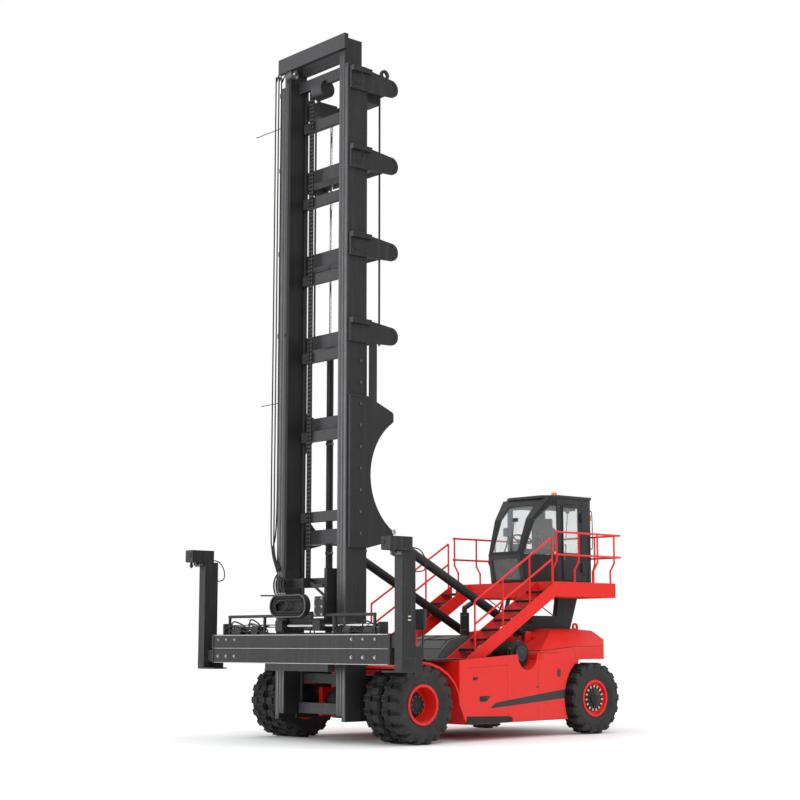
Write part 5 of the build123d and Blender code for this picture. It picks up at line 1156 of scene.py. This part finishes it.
    def loop(self, name, points, body):
        """Free hose between two unions: a NURBS curve with the points as its control points."""
        curve = bpy.data.curves.new(name, "CURVE")
        curve.dimensions = "3D"
        spline = curve.splines.new("NURBS")
        spline.points.add(len(points) - 1)
        spline.points.foreach_set("co", np.column_stack([points, np.ones(len(points))]).ravel())
        spline.order_u = 3
        spline.use_endpoint_u = True
        curve.resolution_u = 10
        centre = bpy.data.objects.new(name + "_line", curve)
        bpy.context.scene.collection.objects.link(centre)
        line = bpy.data.meshes.new_from_object(centre.evaluated_get(bpy.context.evaluated_depsgraph_get()))
        path = np.zeros(len(line.vertices) * 3)
        line.vertices.foreach_get("co", path)
        path = path.reshape(-1, 3)
        bpy.data.objects.remove(centre)
        bpy.data.meshes.remove(line)
        curve.bevel_depth = 0.011
        curve.bevel_resolution = 3
        curve.use_fill_caps = True
        hose = bpy.data.objects.new(name, curve)
        bpy.context.scene.collection.objects.link(hose)
        curve.materials.append(MATERIALS["hose_rubber"])
        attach(hose, body)


class HANDLER_OT_mast(bpy.types.Operator):
    """Dress the mast: feeler rods, hose wheels, hanging hoses, raised discs, rub strips, pins and collars"""

    bl_idname = "handler.mast"
    bl_label = "Mast"

    def execute(self, context):
        rods, feet = [], []
        for z, reach in ((11.674, 2.065), (6.254, 1.789)):
            root, tip = np.array([-0.995, along(-0.70), z]), np.array([-reach, along(-0.70), z - 0.006])
            rods.append(swept_tube(smooth_path([root, root * 0.6 + tip * 0.4, tip], 6), 0.008, 8))
            rods.append(moved(soft_box((-0.013, -0.013, -0.013), (0.013, 0.013, 0.013), 0.9), tip))
            feet.append(block((-1.030, -0.745, z - 0.045), (-0.998, -0.655, z + 0.045)))
        piece_of("feeler_rods", rods, "black_plastic", "mast")
        piece_of("feeler_feet", feet, "black_paint", "mast")

        # Grooved wheels that turn the hoses over at the top of the inner mast
        wheel = (
            (0.0, -0.03), (0.105, -0.03), (0.110, -0.024), (0.086, -0.006), (0.086, 0.006), (0.110, 0.024),
            (0.105, 0.03), (0.0, 0.03),
        )
        sheaves = [turned(wheel, (x, -0.90, 12.555), LEFT) for x in (-0.735, -0.665)]
        piece_of("hose_wheels", sheaves, "bolt_steel", "inner_mast")
        pin = turned(((0, 0), (0.022, 0), (0.022, 0.16), (0, 0.16)), (-0.78, -0.90, 12.555), LEFT, 16)
        piece_of("hose_wheel_pin", [pin], "bright_rod", "inner_mast")

        # Raised crescents on the claws' noses, and a disc with a dark crescent of painted shade on the upper three
        discs = []
        crescents = [moved(arc_band((along(0.115), top - 0.23), 0.118, 0.034, 0.008, -62, 78),
                           (CLAW_FACE_X, 0, 0), SIDE_AXES) for top in CLAW_TOPS]
        disc = ((0.0, 0.0), (0.128, 0.0), (0.130, 0.006), (0.122, 0.014), (0.060, 0.017), (0.0, 0.018))
        for top in CLAW_TOPS[:3]:
            discs.append(turned(disc, (CLAW_FACE_X, -0.69, top - 0.20), LEFT, 40))
            # Painted shade: a dark crescent near the disc's edge, where the round boss is shaded
            shade = arc_band((along(-0.69), top - 0.20), 0.098, 0.044, 0.006, -75, 75)
            crescents.append(moved(shade, (CLAW_FACE_X + 0.0165, 0, 0), SIDE_AXES))
        piece_of("claw_discs", both_sides(discs), "mast_paint", "mast")
        piece_of("claw_crescents_and_painted_shade", both_sides(crescents), "black_paint", "mast")

        # Hoses that hang from the top beam outside the far column and come together at its foot
        drops = [bent([
            (-0.72, -0.90, 12.66), (x + 0.16, d, 12.66), (x + 0.02, d, 12.52), (x, d, 12.20), (x, d, 8.0),
            (x, d, 4.2), (x + 0.04, -0.95, 3.45), (x + 0.20, -0.955, 3.05),
        ], 0.014) for x, d in ((-1.070, -0.93), (-1.135, -0.95), (-1.105, -0.84))]
        piece_of("hanging_hoses", drops, "hose_rubber", "inner_mast")

        # Rubbed strips down the front flanges, where the carriage's rollers run
        strips = [block((x - 0.015, -0.912, 0.52), (x + 0.015, -0.906, 12.58), 0.1) for x in (0.775, 0.865)]
        piece_of("roller_tracks", both_sides(strips), "rubbed_steel", "inner_mast")
        strips = [block((0.925, -0.912, 0.42), (0.972, -0.906, 12.32), 0.1)]
        piece_of("guide_tracks", both_sides(strips), "rubbed_steel", "mast")

        # Strips along the hook plates' heads and front edges
        strips = [
            block((1.040, -0.868, 6.118), (1.056, -0.455, 6.150)),
            block((1.040, -0.868, 3.44), (1.054, -0.842, 6.12)),
        ]
        piece_of("hook_plate_edges", both_sides(strips), "mast_paint", "mast")

        # Heads of the tilt cylinders' pins, and collars on the lift cylinders
        pin = ((0.0, 0.0), (0.046, 0.0), (0.050, 0.004), (0.050, 0.010), (0.020, 0.012), (0.0, 0.012))
        pins = [turned(pin, (x, 0.175, 3.73), (sign, 0, 0), 24) for x, sign in ((0.700, -1), (1.046, 1))]
        piece_of("tilt_pins", both_sides(pins), "pale_steel", "mast")
        collar = ((0.064, -0.022), (0.074, -0.022), (0.078, -0.016), (0.078, 0.016), (0.074, 0.022), (0.064, 0.022))
        collars = [turned(collar, (0.485, -0.080, z)) for z in (1.30, 3.40, 5.45, 7.28)]
        piece_of("lift_collars", both_sides(collars), "bolt_steel", "mast")
        return {"FINISHED"}


# The side bodies narrow evenly: distance and half width at their front and rear
BODY_FRONT, BODY_REAR = (1.010, 1.900), (3.990, 1.560)
BODY_SLOPE = (BODY_REAR[1] - BODY_FRONT[1]) / (BODY_REAR[0] - BODY_FRONT[0])


def body_half_at(distance):
    """Half width of the side bodies a distance behind the drive axle."""
    return BODY_FRONT[1] + BODY_SLOPE * (distance - BODY_FRONT[0])


def on_body(outline, thickness, place):
    """Plate from an outline along and up the left body's outer face, at a (distance, Z) place on it."""
    return moved(bevelled_plate(outline, thickness), *side_frame(*place))


def side_frame(distance, z):
    """Place on the left body's outer face, with axes along the face, up it, and straight out of it."""
    length = math.hypot(BODY_SLOPE, 1.0)
    run, out = 1.0 / length, BODY_SLOPE / length
    axes = np.array([[out, 0.0, run], [run, 0.0, -out], [0.0, 1.0, 0.0]])
    return (body_half_at(distance), along(distance), z), axes


def ring_shape(radius, thickness, steps=32, sides=10):
    """Torus: a small circle carried round a large one."""
    round_it = np.linspace(0, 2 * np.pi, steps, endpoint=False)[:, None]
    turn = np.linspace(0, 2 * np.pi, sides, endpoint=False)[None]
    reach = radius + thickness * np.cos(turn)
    rise = thickness * np.sin(turn) + 0 * round_it
    points = np.stack([reach * np.cos(round_it), reach * np.sin(round_it), rise], -1)
    return points, grid_faces(steps, sides, wrap_rows=True, wrap_columns=True)


class HANDLER_OT_body(bpy.types.Operator):
    """Dress the body: ports, slats and steps on its sides, pipes in the bay, lamps and grille at the rear"""

    bl_idname = "handler.body"
    bl_label = "Body"

    def execute(self, context):
        black = [
            on_body(rounded_outline(0, 0, 0.052, 0.070, 0.8), 0.003, (3.931, 1.179)),
            on_body(rounded_outline(0, 0, 0.045, 0.012, 0.4), 0.004, (3.262, 0.928)),
            on_body([(-0.15, 0.050), (-0.15, -0.050), (0.06, -0.050), (0.15, 0.030), (0.15, 0.050)], 0.003,
                    (1.690, 0.745)),
            on_body([(-0.075, 0.028), (-0.075, -0.028), (0.03, -0.028), (0.075, 0.012), (0.075, 0.028)], 0.003,
                    (1.432, 1.107)),
        ]
        piece_of("body_ports", both_sides(black), "black_plastic", "chassis", False)
        # Painted shade: a darker red ring round the rounded port, set off towards its rear and top
        rims = [on_body(rounded_outline(0.012, 0.004, 0.066, 0.084, 0.8), 0.002, (3.931, 1.179))]
        piece_of("body_port_shade_rims", both_sides(rims), "painted_shade_red", "chassis", False)
        slats = [moved(soft_box((-0.14, z, 0.002), (0.05 + z, z + 0.008, 0.010)), *side_frame(1.690, 0.745))
                 for z in (-0.036, -0.018, 0.000, 0.018, 0.036)]
        slats += [moved(soft_box((-0.068, z, 0.002), (0.03 + z, z + 0.006, 0.008)), *side_frame(1.432, 1.107))
                  for z in (-0.018, -0.003, 0.012)]
        piece_of("body_slats", both_sides(slats), "black_paint", "chassis")
        step = [(-0.66, 0.072), (-0.70, -0.070), (0.60, -0.070), (0.66, -0.050), (0.66, 0.010), (0.56, 0.040)]
        steps = [on_body(step, 0.007, (1.840, 0.375))]
        piece_of("lower_steps", both_sides(steps), "tread_plate", "chassis", False)

        # Side seams: dark gaskets between the hood and the side panels
        run = np.linspace(3.02, 3.98, 12)
        seam = [swept_tube(np.stack([body_half_at(run) + 0.001, along(run), 1.560 + 0 * run], -1), 0.004, 6)]
        piece_of("panel_gaskets", both_sides(seam), "hose_rubber", "chassis")

        # Pipes and hoses round the engine
        tube = partial(bent, per_span=8)
        pipes = [tube(places, radius, sides) for radius, sides, *places in (
            (0.062, 12, (0.86, 2.97, 1.56), (0.72, 2.97, 1.60), (0.60, 3.02, 1.72), (0.42, 3.08, 1.78),
             (0.26, 3.08, 1.72)),
            (0.045, 12, (0.90, 2.56, 1.54), (0.66, 2.60, 1.52), (0.52, 2.66, 1.60), (0.34, 2.70, 1.66)),
            (0.050, 12, (-0.30, 3.24, 1.72), (-0.12, 3.20, 1.80), (0.10, 3.30, 1.80), (0.24, 3.50, 1.74)),
        )]
        piece_of("engine_pipes", pipes, "engine_iron", "chassis")
        hoses = [tube(places, radius, sides) for radius, sides, *places in (
            (0.017, 8, (0.62, 3.70, 1.22), (0.70, 3.40, 1.50), (0.66, 3.10, 1.66), (0.40, 2.60, 1.74),
             (0.30, 2.45, 1.70)),
            (0.014, 8, (0.56, 3.75, 1.22), (0.62, 3.45, 1.54), (0.54, 3.15, 1.76), (0.30, 2.90, 1.78),
             (0.10, 2.55, 1.70)),
            (0.022, 8, (1.05, 3.45, 1.22), (1.02, 3.44, 1.40), (0.90, 3.42, 1.52), (0.70, 3.30, 1.50),
             (0.50, 3.20, 1.30)),
            (0.024, 10, (0.15, 4.05, 2.64), (0.16, 3.98, 2.44), (0.20, 3.80, 2.22), (0.24, 3.60, 1.95),
             (0.26, 3.50, 1.70)),
            (0.020, 10, (0.05, 4.10, 2.64), (0.05, 4.02, 2.40), (0.08, 3.84, 2.16), (0.12, 3.62, 1.90),
             (0.14, 3.52, 1.70)),
            (0.020, 10, (-0.08, 4.12, 2.64), (-0.08, 4.02, 2.42), (-0.06, 3.86, 2.20), (0.00, 3.60, 1.92),
             (0.02, 3.48, 1.70)),
            (0.016, 8, (0.48, 4.05, 2.00), (0.44, 3.90, 2.02), (0.40, 3.70, 1.96), (0.34, 3.58, 1.80),
             (0.30, 3.50, 1.70)),
        )]
        piece_of("engine_hoses", hoses, "hose_rubber", "chassis")
        parts = [
            block((-0.30, 2.45, 1.695), (0.30, 3.60, 1.80), 0.22),
            block((0.375, 2.70, 1.30), (0.47, 3.40, 1.62), 0.22),
            block((-0.47, 2.70, 1.30), (-0.375, 3.40, 1.62), 0.22),
            turned(((0, 0), (0.12, 0), (0.13, 0.02), (0.13, 0.10), (0.10, 0.13), (0.05, 0.14), (0, 0.14)),
                   (0.380, 2.50, 1.42), LEFT),
            turned(((0, 0), (0.07, 0), (0.07, 0.20), (0.055, 0.22), (0, 0.22)), (0.46, 2.36, 1.22), UP, 24),
        ]
        piece_of("engine_parts", parts, "engine_iron", "chassis")
        y, z = along(2.97), 1.54
        lid = ((0.0, 0.0), (0.150, 0.0), (0.152, 0.006), (0.120, 0.012), (0.112, 0.004), (0.060, 0.004),
               (0.052, 0.014), (0.0, 0.016))
        cap = [turned(lid, (1.510, 2.97, z), LEFT, 40)]
        cap += [moved(ring_shape(0.242, 0.008, 48), (x, y, z), frame_to(LEFT)) for x in (1.400, 0.960)]
        clips = []
        for turn in (0.5, 1.6, 2.7, 3.8, 4.9, 6.0):
            clip_y, clip_z = y + 0.236 * math.cos(turn), z + 0.236 * math.sin(turn)
            clips.append(soft_box((1.37, clip_y - 0.014, clip_z - 0.014), (1.45, clip_y + 0.014, clip_z + 0.014)))
        piece_of("cleaner_trim", cap, "black_plastic", "chassis")
        piece_of("cleaner_clips", clips, "pale_steel", "chassis")

        braces = [tube([(0.60, 4.16, 2.642), (0.60, 4.56, 2.43), (0.60, 4.96, 2.22)], 0.011, 8)]
        piece_of("platform_braces", both_sides(braces), "black_paint", "chassis")

        # Bands round the exhaust stack
        bands = [moved(ring_shape(0.091, 0.006, 40), (-0.300, along(3.24), z)) for z in (1.78, 2.00, 2.28)]
        piece_of("stack_bands", bands, "bolt_steel", "chassis")

        # Rear lamps, and the louvred grille in the counterweight
        lamps = [
            block((0.86, 5.570, 1.50), (0.95, 5.616, 1.60), 0.3),
            block((0.97, 5.570, 1.50), (1.06, 5.612, 1.60), 0.3),
        ]
        housings = [block((0.845, 5.560, 1.485), (1.075, 5.608, 1.615), 0.3)]
        piece_of("rear_lamps", both_sides(lamps), "red_lens", "chassis")
        piece_of("rear_lamp_housings", both_sides(housings), "black_plastic", "chassis")
        slats = [block((-0.44, 5.636, z), (0.44, 5.652, z + 0.022), 0.2) for z in np.arange(0.96, 1.38, 0.042)]
        slats += [
            block((x0, 5.636, z0), (x1, 5.656, z1)) for x0, x1, z0, z1 in (
                (-0.47, 0.47, 0.925, 0.950), (-0.47, 0.47, 1.390, 1.415), (-0.47, -0.445, 0.925, 1.415),
                (0.445, 0.47, 0.925, 1.415),
            )
        ]
        piece_of("rear_grille", slats, "black_paint", "chassis")

        # Dark non-slip covers round the stair treads; their darkness is painted shade for the shadow under each tread
        foot, head, count = (-0.615, 1.46), (1.825, 2.93), 7
        slope = (head[1] - foot[1]) / (head[0] - foot[0])
        covers = []
        for step in range(1, count + 1):
            top = foot[1] + (head[1] - foot[1]) * step / (count + 1)
            nose = foot[0] + (top - foot[1]) / slope
            covers.append(soft_box((0.957, nose - 0.004, top - 0.044), (1.453, nose + 0.244, top + 0.004), 0.04, 7))
        piece_of("tread_shade_covers", both_sides(covers), "tread_plate", "chassis")

        # Pale edge along each deck plate
        edges = [block((0.99, 0.334, 1.461), (1.70, 0.346, 1.469))]
        piece_of("deck_edges", both_sides(edges), "pale_steel", "chassis")

        # Ribs down the cover ahead of the engine, and across its ends and its bend
        lip = [tube([(x, 1.70, 1.632), (x, 1.80, 1.716), (x, 1.905, 1.806), (x, 2.10, 1.838), (x, 2.34, 1.880)], 0.011)
               for x in (0.62, 0.0, -0.62)]
        lip += [tube([(x, d, z) for x in (-0.66, -0.2, 0.2, 0.66)], 0.011)
                for d, z in ((1.700, 1.634), (1.902, 1.806), (2.345, 1.882))]
        piece_of("cover_ribs", lip, "black_paint", "chassis")
        return {"FINISHED"}


class HANDLER_OT_cab(bpy.types.Operator):
    """Furnish the cab: gaskets, wipers, wheel, levers, screen, mirrors, louvres and the beacon's base"""

    bl_idname = "handler.cab"
    bl_label = "Cab"

    def execute(self, context):
        bar = partial(bent, per_span=4)

        # Rubber gaskets round the side panes
        gaskets = []
        pane = [(4.13, 3.49), (4.392, 4.20), (4.73, 4.50), (4.89, 4.50), (4.89, 3.49)]
        corners = np.array([(self.half_at(d), along(d), z) for d, z in pane])
        for start, stop in zip(corners, np.roll(corners, -1, axis=0)):
            gaskets.append(swept_tube(start + (stop - start) * np.linspace(0, 1, 8)[:, None], 0.011, 8))
        piece_of("pane_gaskets", both_sides(gaskets), "hose_rubber", "chassis")

        # Windscreen wiper, its motor and the washer tube
        wiper = [
            bar([(0.05, 4.318, 4.20), (0.10, 4.215, 3.95), (0.16, 4.100, 3.62), (0.20, 4.050, 3.50)], 0.009),
            bar([(0.03, 4.168, 3.86), (0.13, 4.120, 3.70), (0.26, 4.030, 3.52)], 0.007),
            block((0.00, 4.30, 4.17), (0.10, 4.39, 4.25), 0.3),
        ]
        piece_of("wiper", wiper, "black_plastic", "chassis")

        # Steering wheel on its column, levers on the arm rests and the screen
        wheel_axes = frame_to((0.0, 0.42, 0.91))
        hub = np.array([0.0, along(4.60), 3.835])
        shapes = [
            moved(ring_shape(0.19, 0.016), hub, wheel_axes),
            moved(revolved(((0, -0.03), (0.045, -0.03), (0.05, 0.0), (0.035, 0.02), (0, 0.022)), 20), hub, wheel_axes),
        ]
        for turn in (0.3, 2.4, 4.5):
            tip = wheel_axes @ np.array([0.185 * math.cos(turn), 0.185 * math.sin(turn), 0.0])
            shapes.append(swept_tube(np.stack([hub, hub + tip * 0.5, hub + tip]), 0.010, 8))
        column = hub - wheel_axes[:, 2] * np.array([0.0, 0.10, 0.22])[:, None]
        shapes.append(swept_tube(column, 0.028, 12))
        for x in (-0.32, 0.32):
            # Arm rest on its post, with a lever and its knob
            lever = [(x, along(4.82), 3.66), (x, along(4.81), 3.72), (x, along(4.80), 3.79)]
            shapes += [
                block((x - 0.05, 4.78, 3.60), (x + 0.05, 5.20, 3.67), 0.3),
                block((x - 0.03, 5.05, 3.00), (x + 0.03, 5.18, 3.61), 0.3), swept_tube(lever, 0.012, 8),
                block((x - 0.024, 4.775, 3.77), (x + 0.024, 4.825, 3.86), 0.6),
            ]
        piece_of("driver_controls", shapes, "black_plastic", "chassis")
        screen = [
            block((-0.46, 4.50, 3.90), (-0.22, 4.54, 4.08), 0.2),
            bar([(-0.34, 4.53, 3.92), (-0.36, 4.50, 3.72), (-0.40, 4.46, 3.50), (-0.40, 4.46, 3.00)], 0.014),
        ]
        piece_of("driver_screen", screen, "black_plastic", "chassis")
        face = [block((-0.445, 4.496, 3.915), (-0.235, 4.502, 4.065), 0.1)]
        piece_of("screen_face", face, "lens_glass", "chassis")
        mounts = [
            block((-0.20, 5.23, 4.02), (0.20, 5.30, 4.28), 0.3),
            block((-0.22, 4.93, 3.25), (0.22, 5.35, 3.395), 0.3),
        ]
        piece_of("seat_mount", mounts, "black_plastic", "chassis")

        # Head lining, sun blind, inside mirror and roof console
        lining = [
            block((-0.60, 4.86, 4.575), (0.60, 5.78, 4.605), 0.1),
            block((-0.38, 4.66, 4.44), (0.38, 4.70, 4.60), 0.2),
            block((0.30, 4.95, 4.42), (0.58, 5.60, 4.58), 0.2),
        ]
        piece_of("head_lining", lining, "cab_lining", "chassis")
        mirror = [
            block((0.34, 4.44, 4.20), (0.52, 4.475, 4.34), 0.3),
            bar([(0.44, 4.47, 4.30), (0.45, 4.56, 4.42), (0.45, 4.66, 4.50)], 0.009),
        ]
        piece_of("inside_mirror", mirror, "black_plastic", "chassis")

        # Outside: door handle and seal, aerial bar, rear wiper, louvres and the beacon's base
        handle = [
            bar([(0.704, 5.055, 3.46), (0.742, 5.065, 3.46), (0.748, 5.075, 3.56), (0.742, 5.085, 3.70),
                 (0.704, 5.095, 3.70)], 0.010),
            block((0.698, 5.035, 3.40), (0.712, 5.105, 3.50), 0.3),
        ]
        piece_of("door_handle", handle, "bolt_steel", "door")
        seal = [bar([(0.708, 5.045, z) for z in (3.02, 3.60, 4.20, 4.50)], 0.008)]
        piece_of("door_seal", seal, "hose_rubber", "door")
        aerial = [bar([(0.66, 5.885, 4.43), (0.68, 5.925, 4.43), (0.70, 5.935, 4.30), (0.70, 5.935, 3.70),
                       (0.68, 5.900, 3.66)], 0.009)]
        piece_of("rear_aerial", aerial, "black_plastic", "chassis")
        rear_wiper = [
            bar([(0.06, 5.892, 4.46), (0.03, 5.900, 4.20), (0.00, 5.896, 3.85)], 0.009),
            block((0.02, 5.876, 4.42), (0.11, 5.905, 4.50), 0.3),
        ]
        piece_of("rear_wiper", rear_wiper, "black_plastic", "chassis")
        louvres = [block((0.694, 5.62, z), (0.712, 5.84, z + 0.018), 0.3) for z in np.arange(4.36, 4.60, 0.036)]
        louvres += [block((0.694, 5.64, z), (0.708, 5.84, z + 0.014), 0.3) for z in np.arange(3.10, 3.44, 0.030)]
        piece_of("cab_louvres", both_sides(louvres), "black_plastic", "chassis")
        base = [turned(((0, 0), (0.078, 0), (0.080, 0.006), (0.070, 0.022), (0.062, 0.024), (0, 0.024)),
                       (0.35, 5.18, 4.705))]
        piece_of("beacon_base", base, "black_plastic", "chassis")

        # Mirror housings, their glass and a red bracket at each post
        near, far, rear, top = 1.48, 1.72, 0.36, 2.34
        shell = [block((near - 0.004, 0.292, top - 0.364), (far + 0.004, rear + 0.002, top + 0.004), 0.35)]
        piece_of("mirror_housing", both_sides(shell), "black_plastic", "chassis")
        glass = [block((near + 0.012, rear - 0.002, top - 0.345), (far - 0.012, rear + 0.006, top - 0.015), 0.25)]
        piece_of("mirror_glass", both_sides(glass), "mirror_face", "chassis")
        bracket = [
            bent([(near - 0.004, rear, 1.47), (near - 0.03, rear, 1.80), (near - 0.01, rear, 2.15)], 0.014),
            block((near - 0.030, rear - 0.03, 2.02), (near + 0.02, rear + 0.015, 2.12), 0.3),
        ]
        piece_of("mirror_bracket", both_sides(bracket), "red_paint", "chassis")
        return {"FINISHED"}

    def half_at(self, distance):
        """Half width of the cab at a distance: full behind its shoulder, narrowing evenly to its nose."""
        nose, shoulder = (4.05, 0.430), (4.90, 0.700)
        return float(np.interp(distance, (nose[0], shoulder[0]), (nose[1], shoulder[1])))


class HANDLER_OT_stage(bpy.types.Operator):
    """Pale floor, soft studio light and a camera at the photograph's angle"""

    bl_idname = "handler.stage"
    bl_label = "Stage"

    def execute(self, context):
        scene = context.scene
        scene.view_settings.view_transform = "Standard"
        white = (1.0, 1.0, 1.0, 1.0)
        floor = bpy.data.meshes.new("floor")
        reach = 160.0
        corners = [(-reach, -reach, -0.002), (reach, -reach, -0.002), (reach, reach, -0.002), (-reach, reach, -0.002)]
        floor.from_pydata(corners, [], [(0, 1, 2, 3)])
        floor_piece = bpy.data.objects.new("floor", floor)
        scene.collection.objects.link(floor_piece)
        material = bpy.data.materials.new("floor_white_with_painted_shadow")
        material.use_nodes = True
        tree = material.node_tree
        tree.nodes.clear()
        # Painted shadow: greyer under the machine by a bell curve of the distance, and glowing white far from it
        axis = parts_of(tree, add(tree, "TexCoord").outputs["Object"])
        squares = [maths(tree, "POWER", maths(tree, "DIVIDE", axis[way], reach), 2.0)
                   for way, reach in (("X", 5.0), ("Y", 7.0))]
        near = maths(tree, "POWER", math.e, times(tree, plus(tree, *squares), -1.0))
        tone = blend_colours(tree, near, (0.97, 0.97, 0.97), (0.74, 0.755, 0.765))
        cloth = add(tree, "BsdfDiffuse", {"Color": tone})
        glow = add(tree, "Emission", {"Color": white, "Strength": remap(tree, near, 0.0, 1.0, 0.46, 0.0)})
        path = add(tree, "LightPath").outputs
        seen = plus(tree, path["Is Camera Ray"], path["Is Glossy Ray"], clamp=True)
        seen = plus(tree, seen, path["Is Transmission Ray"], clamp=True)
        lit = add(tree, "AddShader", {0: cloth.outputs[0], 1: glow.outputs[0]})
        both = add(tree, "MixShader", {0: seen, 1: cloth.outputs[0], 2: lit.outputs[0]})
        add(tree, "OutputMaterial", {"Surface": both.outputs[0]})
        floor.materials.append(material)

        world = bpy.data.worlds.new("studio")
        scene.world = world
        world.use_nodes = True
        tree = world.node_tree
        tree.nodes.clear()
        path = add(tree, "LightPath").outputs
        seen = plus(tree, path["Is Camera Ray"], path["Is Transmission Ray"], clamp=True)
        back = add(tree, "Background", {"Color": white, "Strength": 1.0})
        soft = add(tree, "Background", {"Color": white, "Strength": 0.55})
        both = add(tree, "MixShader", {0: seen, 1: soft.outputs[0], 2: back.outputs[0]})
        add(tree, "OutputWorld", {"Surface": both.outputs[0]})

        lamps = (
            ("key", (26.0, -16.0, 17.0), 14.0, 3600.0),
            ("fill", (-14.0, -26.0, 10.0), 16.0, 2100.0),
            ("top", (2.0, 0.0, 27.0), 18.0, 2600.0),
            ("back", (10.0, 24.0, 14.0), 12.0, 1500.0),
        )
        for name, place, size, power in lamps:
            light = bpy.data.lights.new(name, "AREA")
            light.shape, light.size, light.energy = "SQUARE", size, power
            lamp = bpy.data.objects.new(name, light)
            lamp.location = place
            aim = Vector((0.0, 0.0, 3.0)) - Vector(place)
            lamp.rotation_euler = aim.to_track_quat("-Z", "Y").to_euler()
            scene.collection.objects.link(lamp)

        camera = bpy.data.cameras.new("photo_camera")
        camera.lens = scene.handler.camera_lens
        camera.sensor_width = 36.0
        camera.clip_end = 500.0
        viewer = bpy.data.objects.new("photo_camera", camera)
        turn, rise = math.radians(48.31), math.radians(8.46)
        ahead = Vector((-math.sin(turn) * math.cos(rise), math.cos(turn) * math.cos(rise), math.sin(rise)))
        viewer.location = (23.24, -21.615, 1.74)
        viewer.rotation_euler = ahead.to_track_quat("-Z", "Y").to_euler()
        scene.collection.objects.link(viewer)
        scene.camera = viewer
        return {"FINISHED"}


class HANDLER_PT_panel(bpy.types.Panel):
    """Settings and steps of the container handler"""

    bl_label = "Container handler"
    bl_idname = "HANDLER_PT_panel"
    bl_space_type = "VIEW_3D"
    bl_region_type = "UI"
    bl_category = "Handler"

    def draw(self, context):
        for name in HandlerSettings.__annotations__:
            self.layout.prop(context.scene.handler, name)
        for step in STEPS:
            self.layout.operator(step.bl_idname)


STEPS = (
    HANDLER_OT_finishes, HANDLER_OT_seat, HANDLER_OT_bolts, HANDLER_OT_hubs, HANDLER_OT_spreader, HANDLER_OT_mast,
    HANDLER_OT_body, HANDLER_OT_cab, HANDLER_OT_stage,
)
CLASSES = (HandlerSettings, *STEPS, HANDLER_PT_panel)


def register():
    for item in CLASSES:
        bpy.utils.register_class(item)
    bpy.types.Scene.handler = PointerProperty(type=HandlerSettings)


def unregister():
    del bpy.types.Scene.handler
    for item in reversed(CLASSES):
        bpy.utils.unregister_class(item)


def main():
    register()
    bpy.ops.handler.finishes()
    bpy.ops.handler.seat()
    bpy.ops.handler.bolts()
    bpy.ops.handler.hubs()
    bpy.ops.handler.spreader()
    bpy.ops.handler.mast()
    bpy.ops.handler.body()
    bpy.ops.handler.cab()
    bpy.ops.handler.stage()


if __name__ == "__main__":
    main()
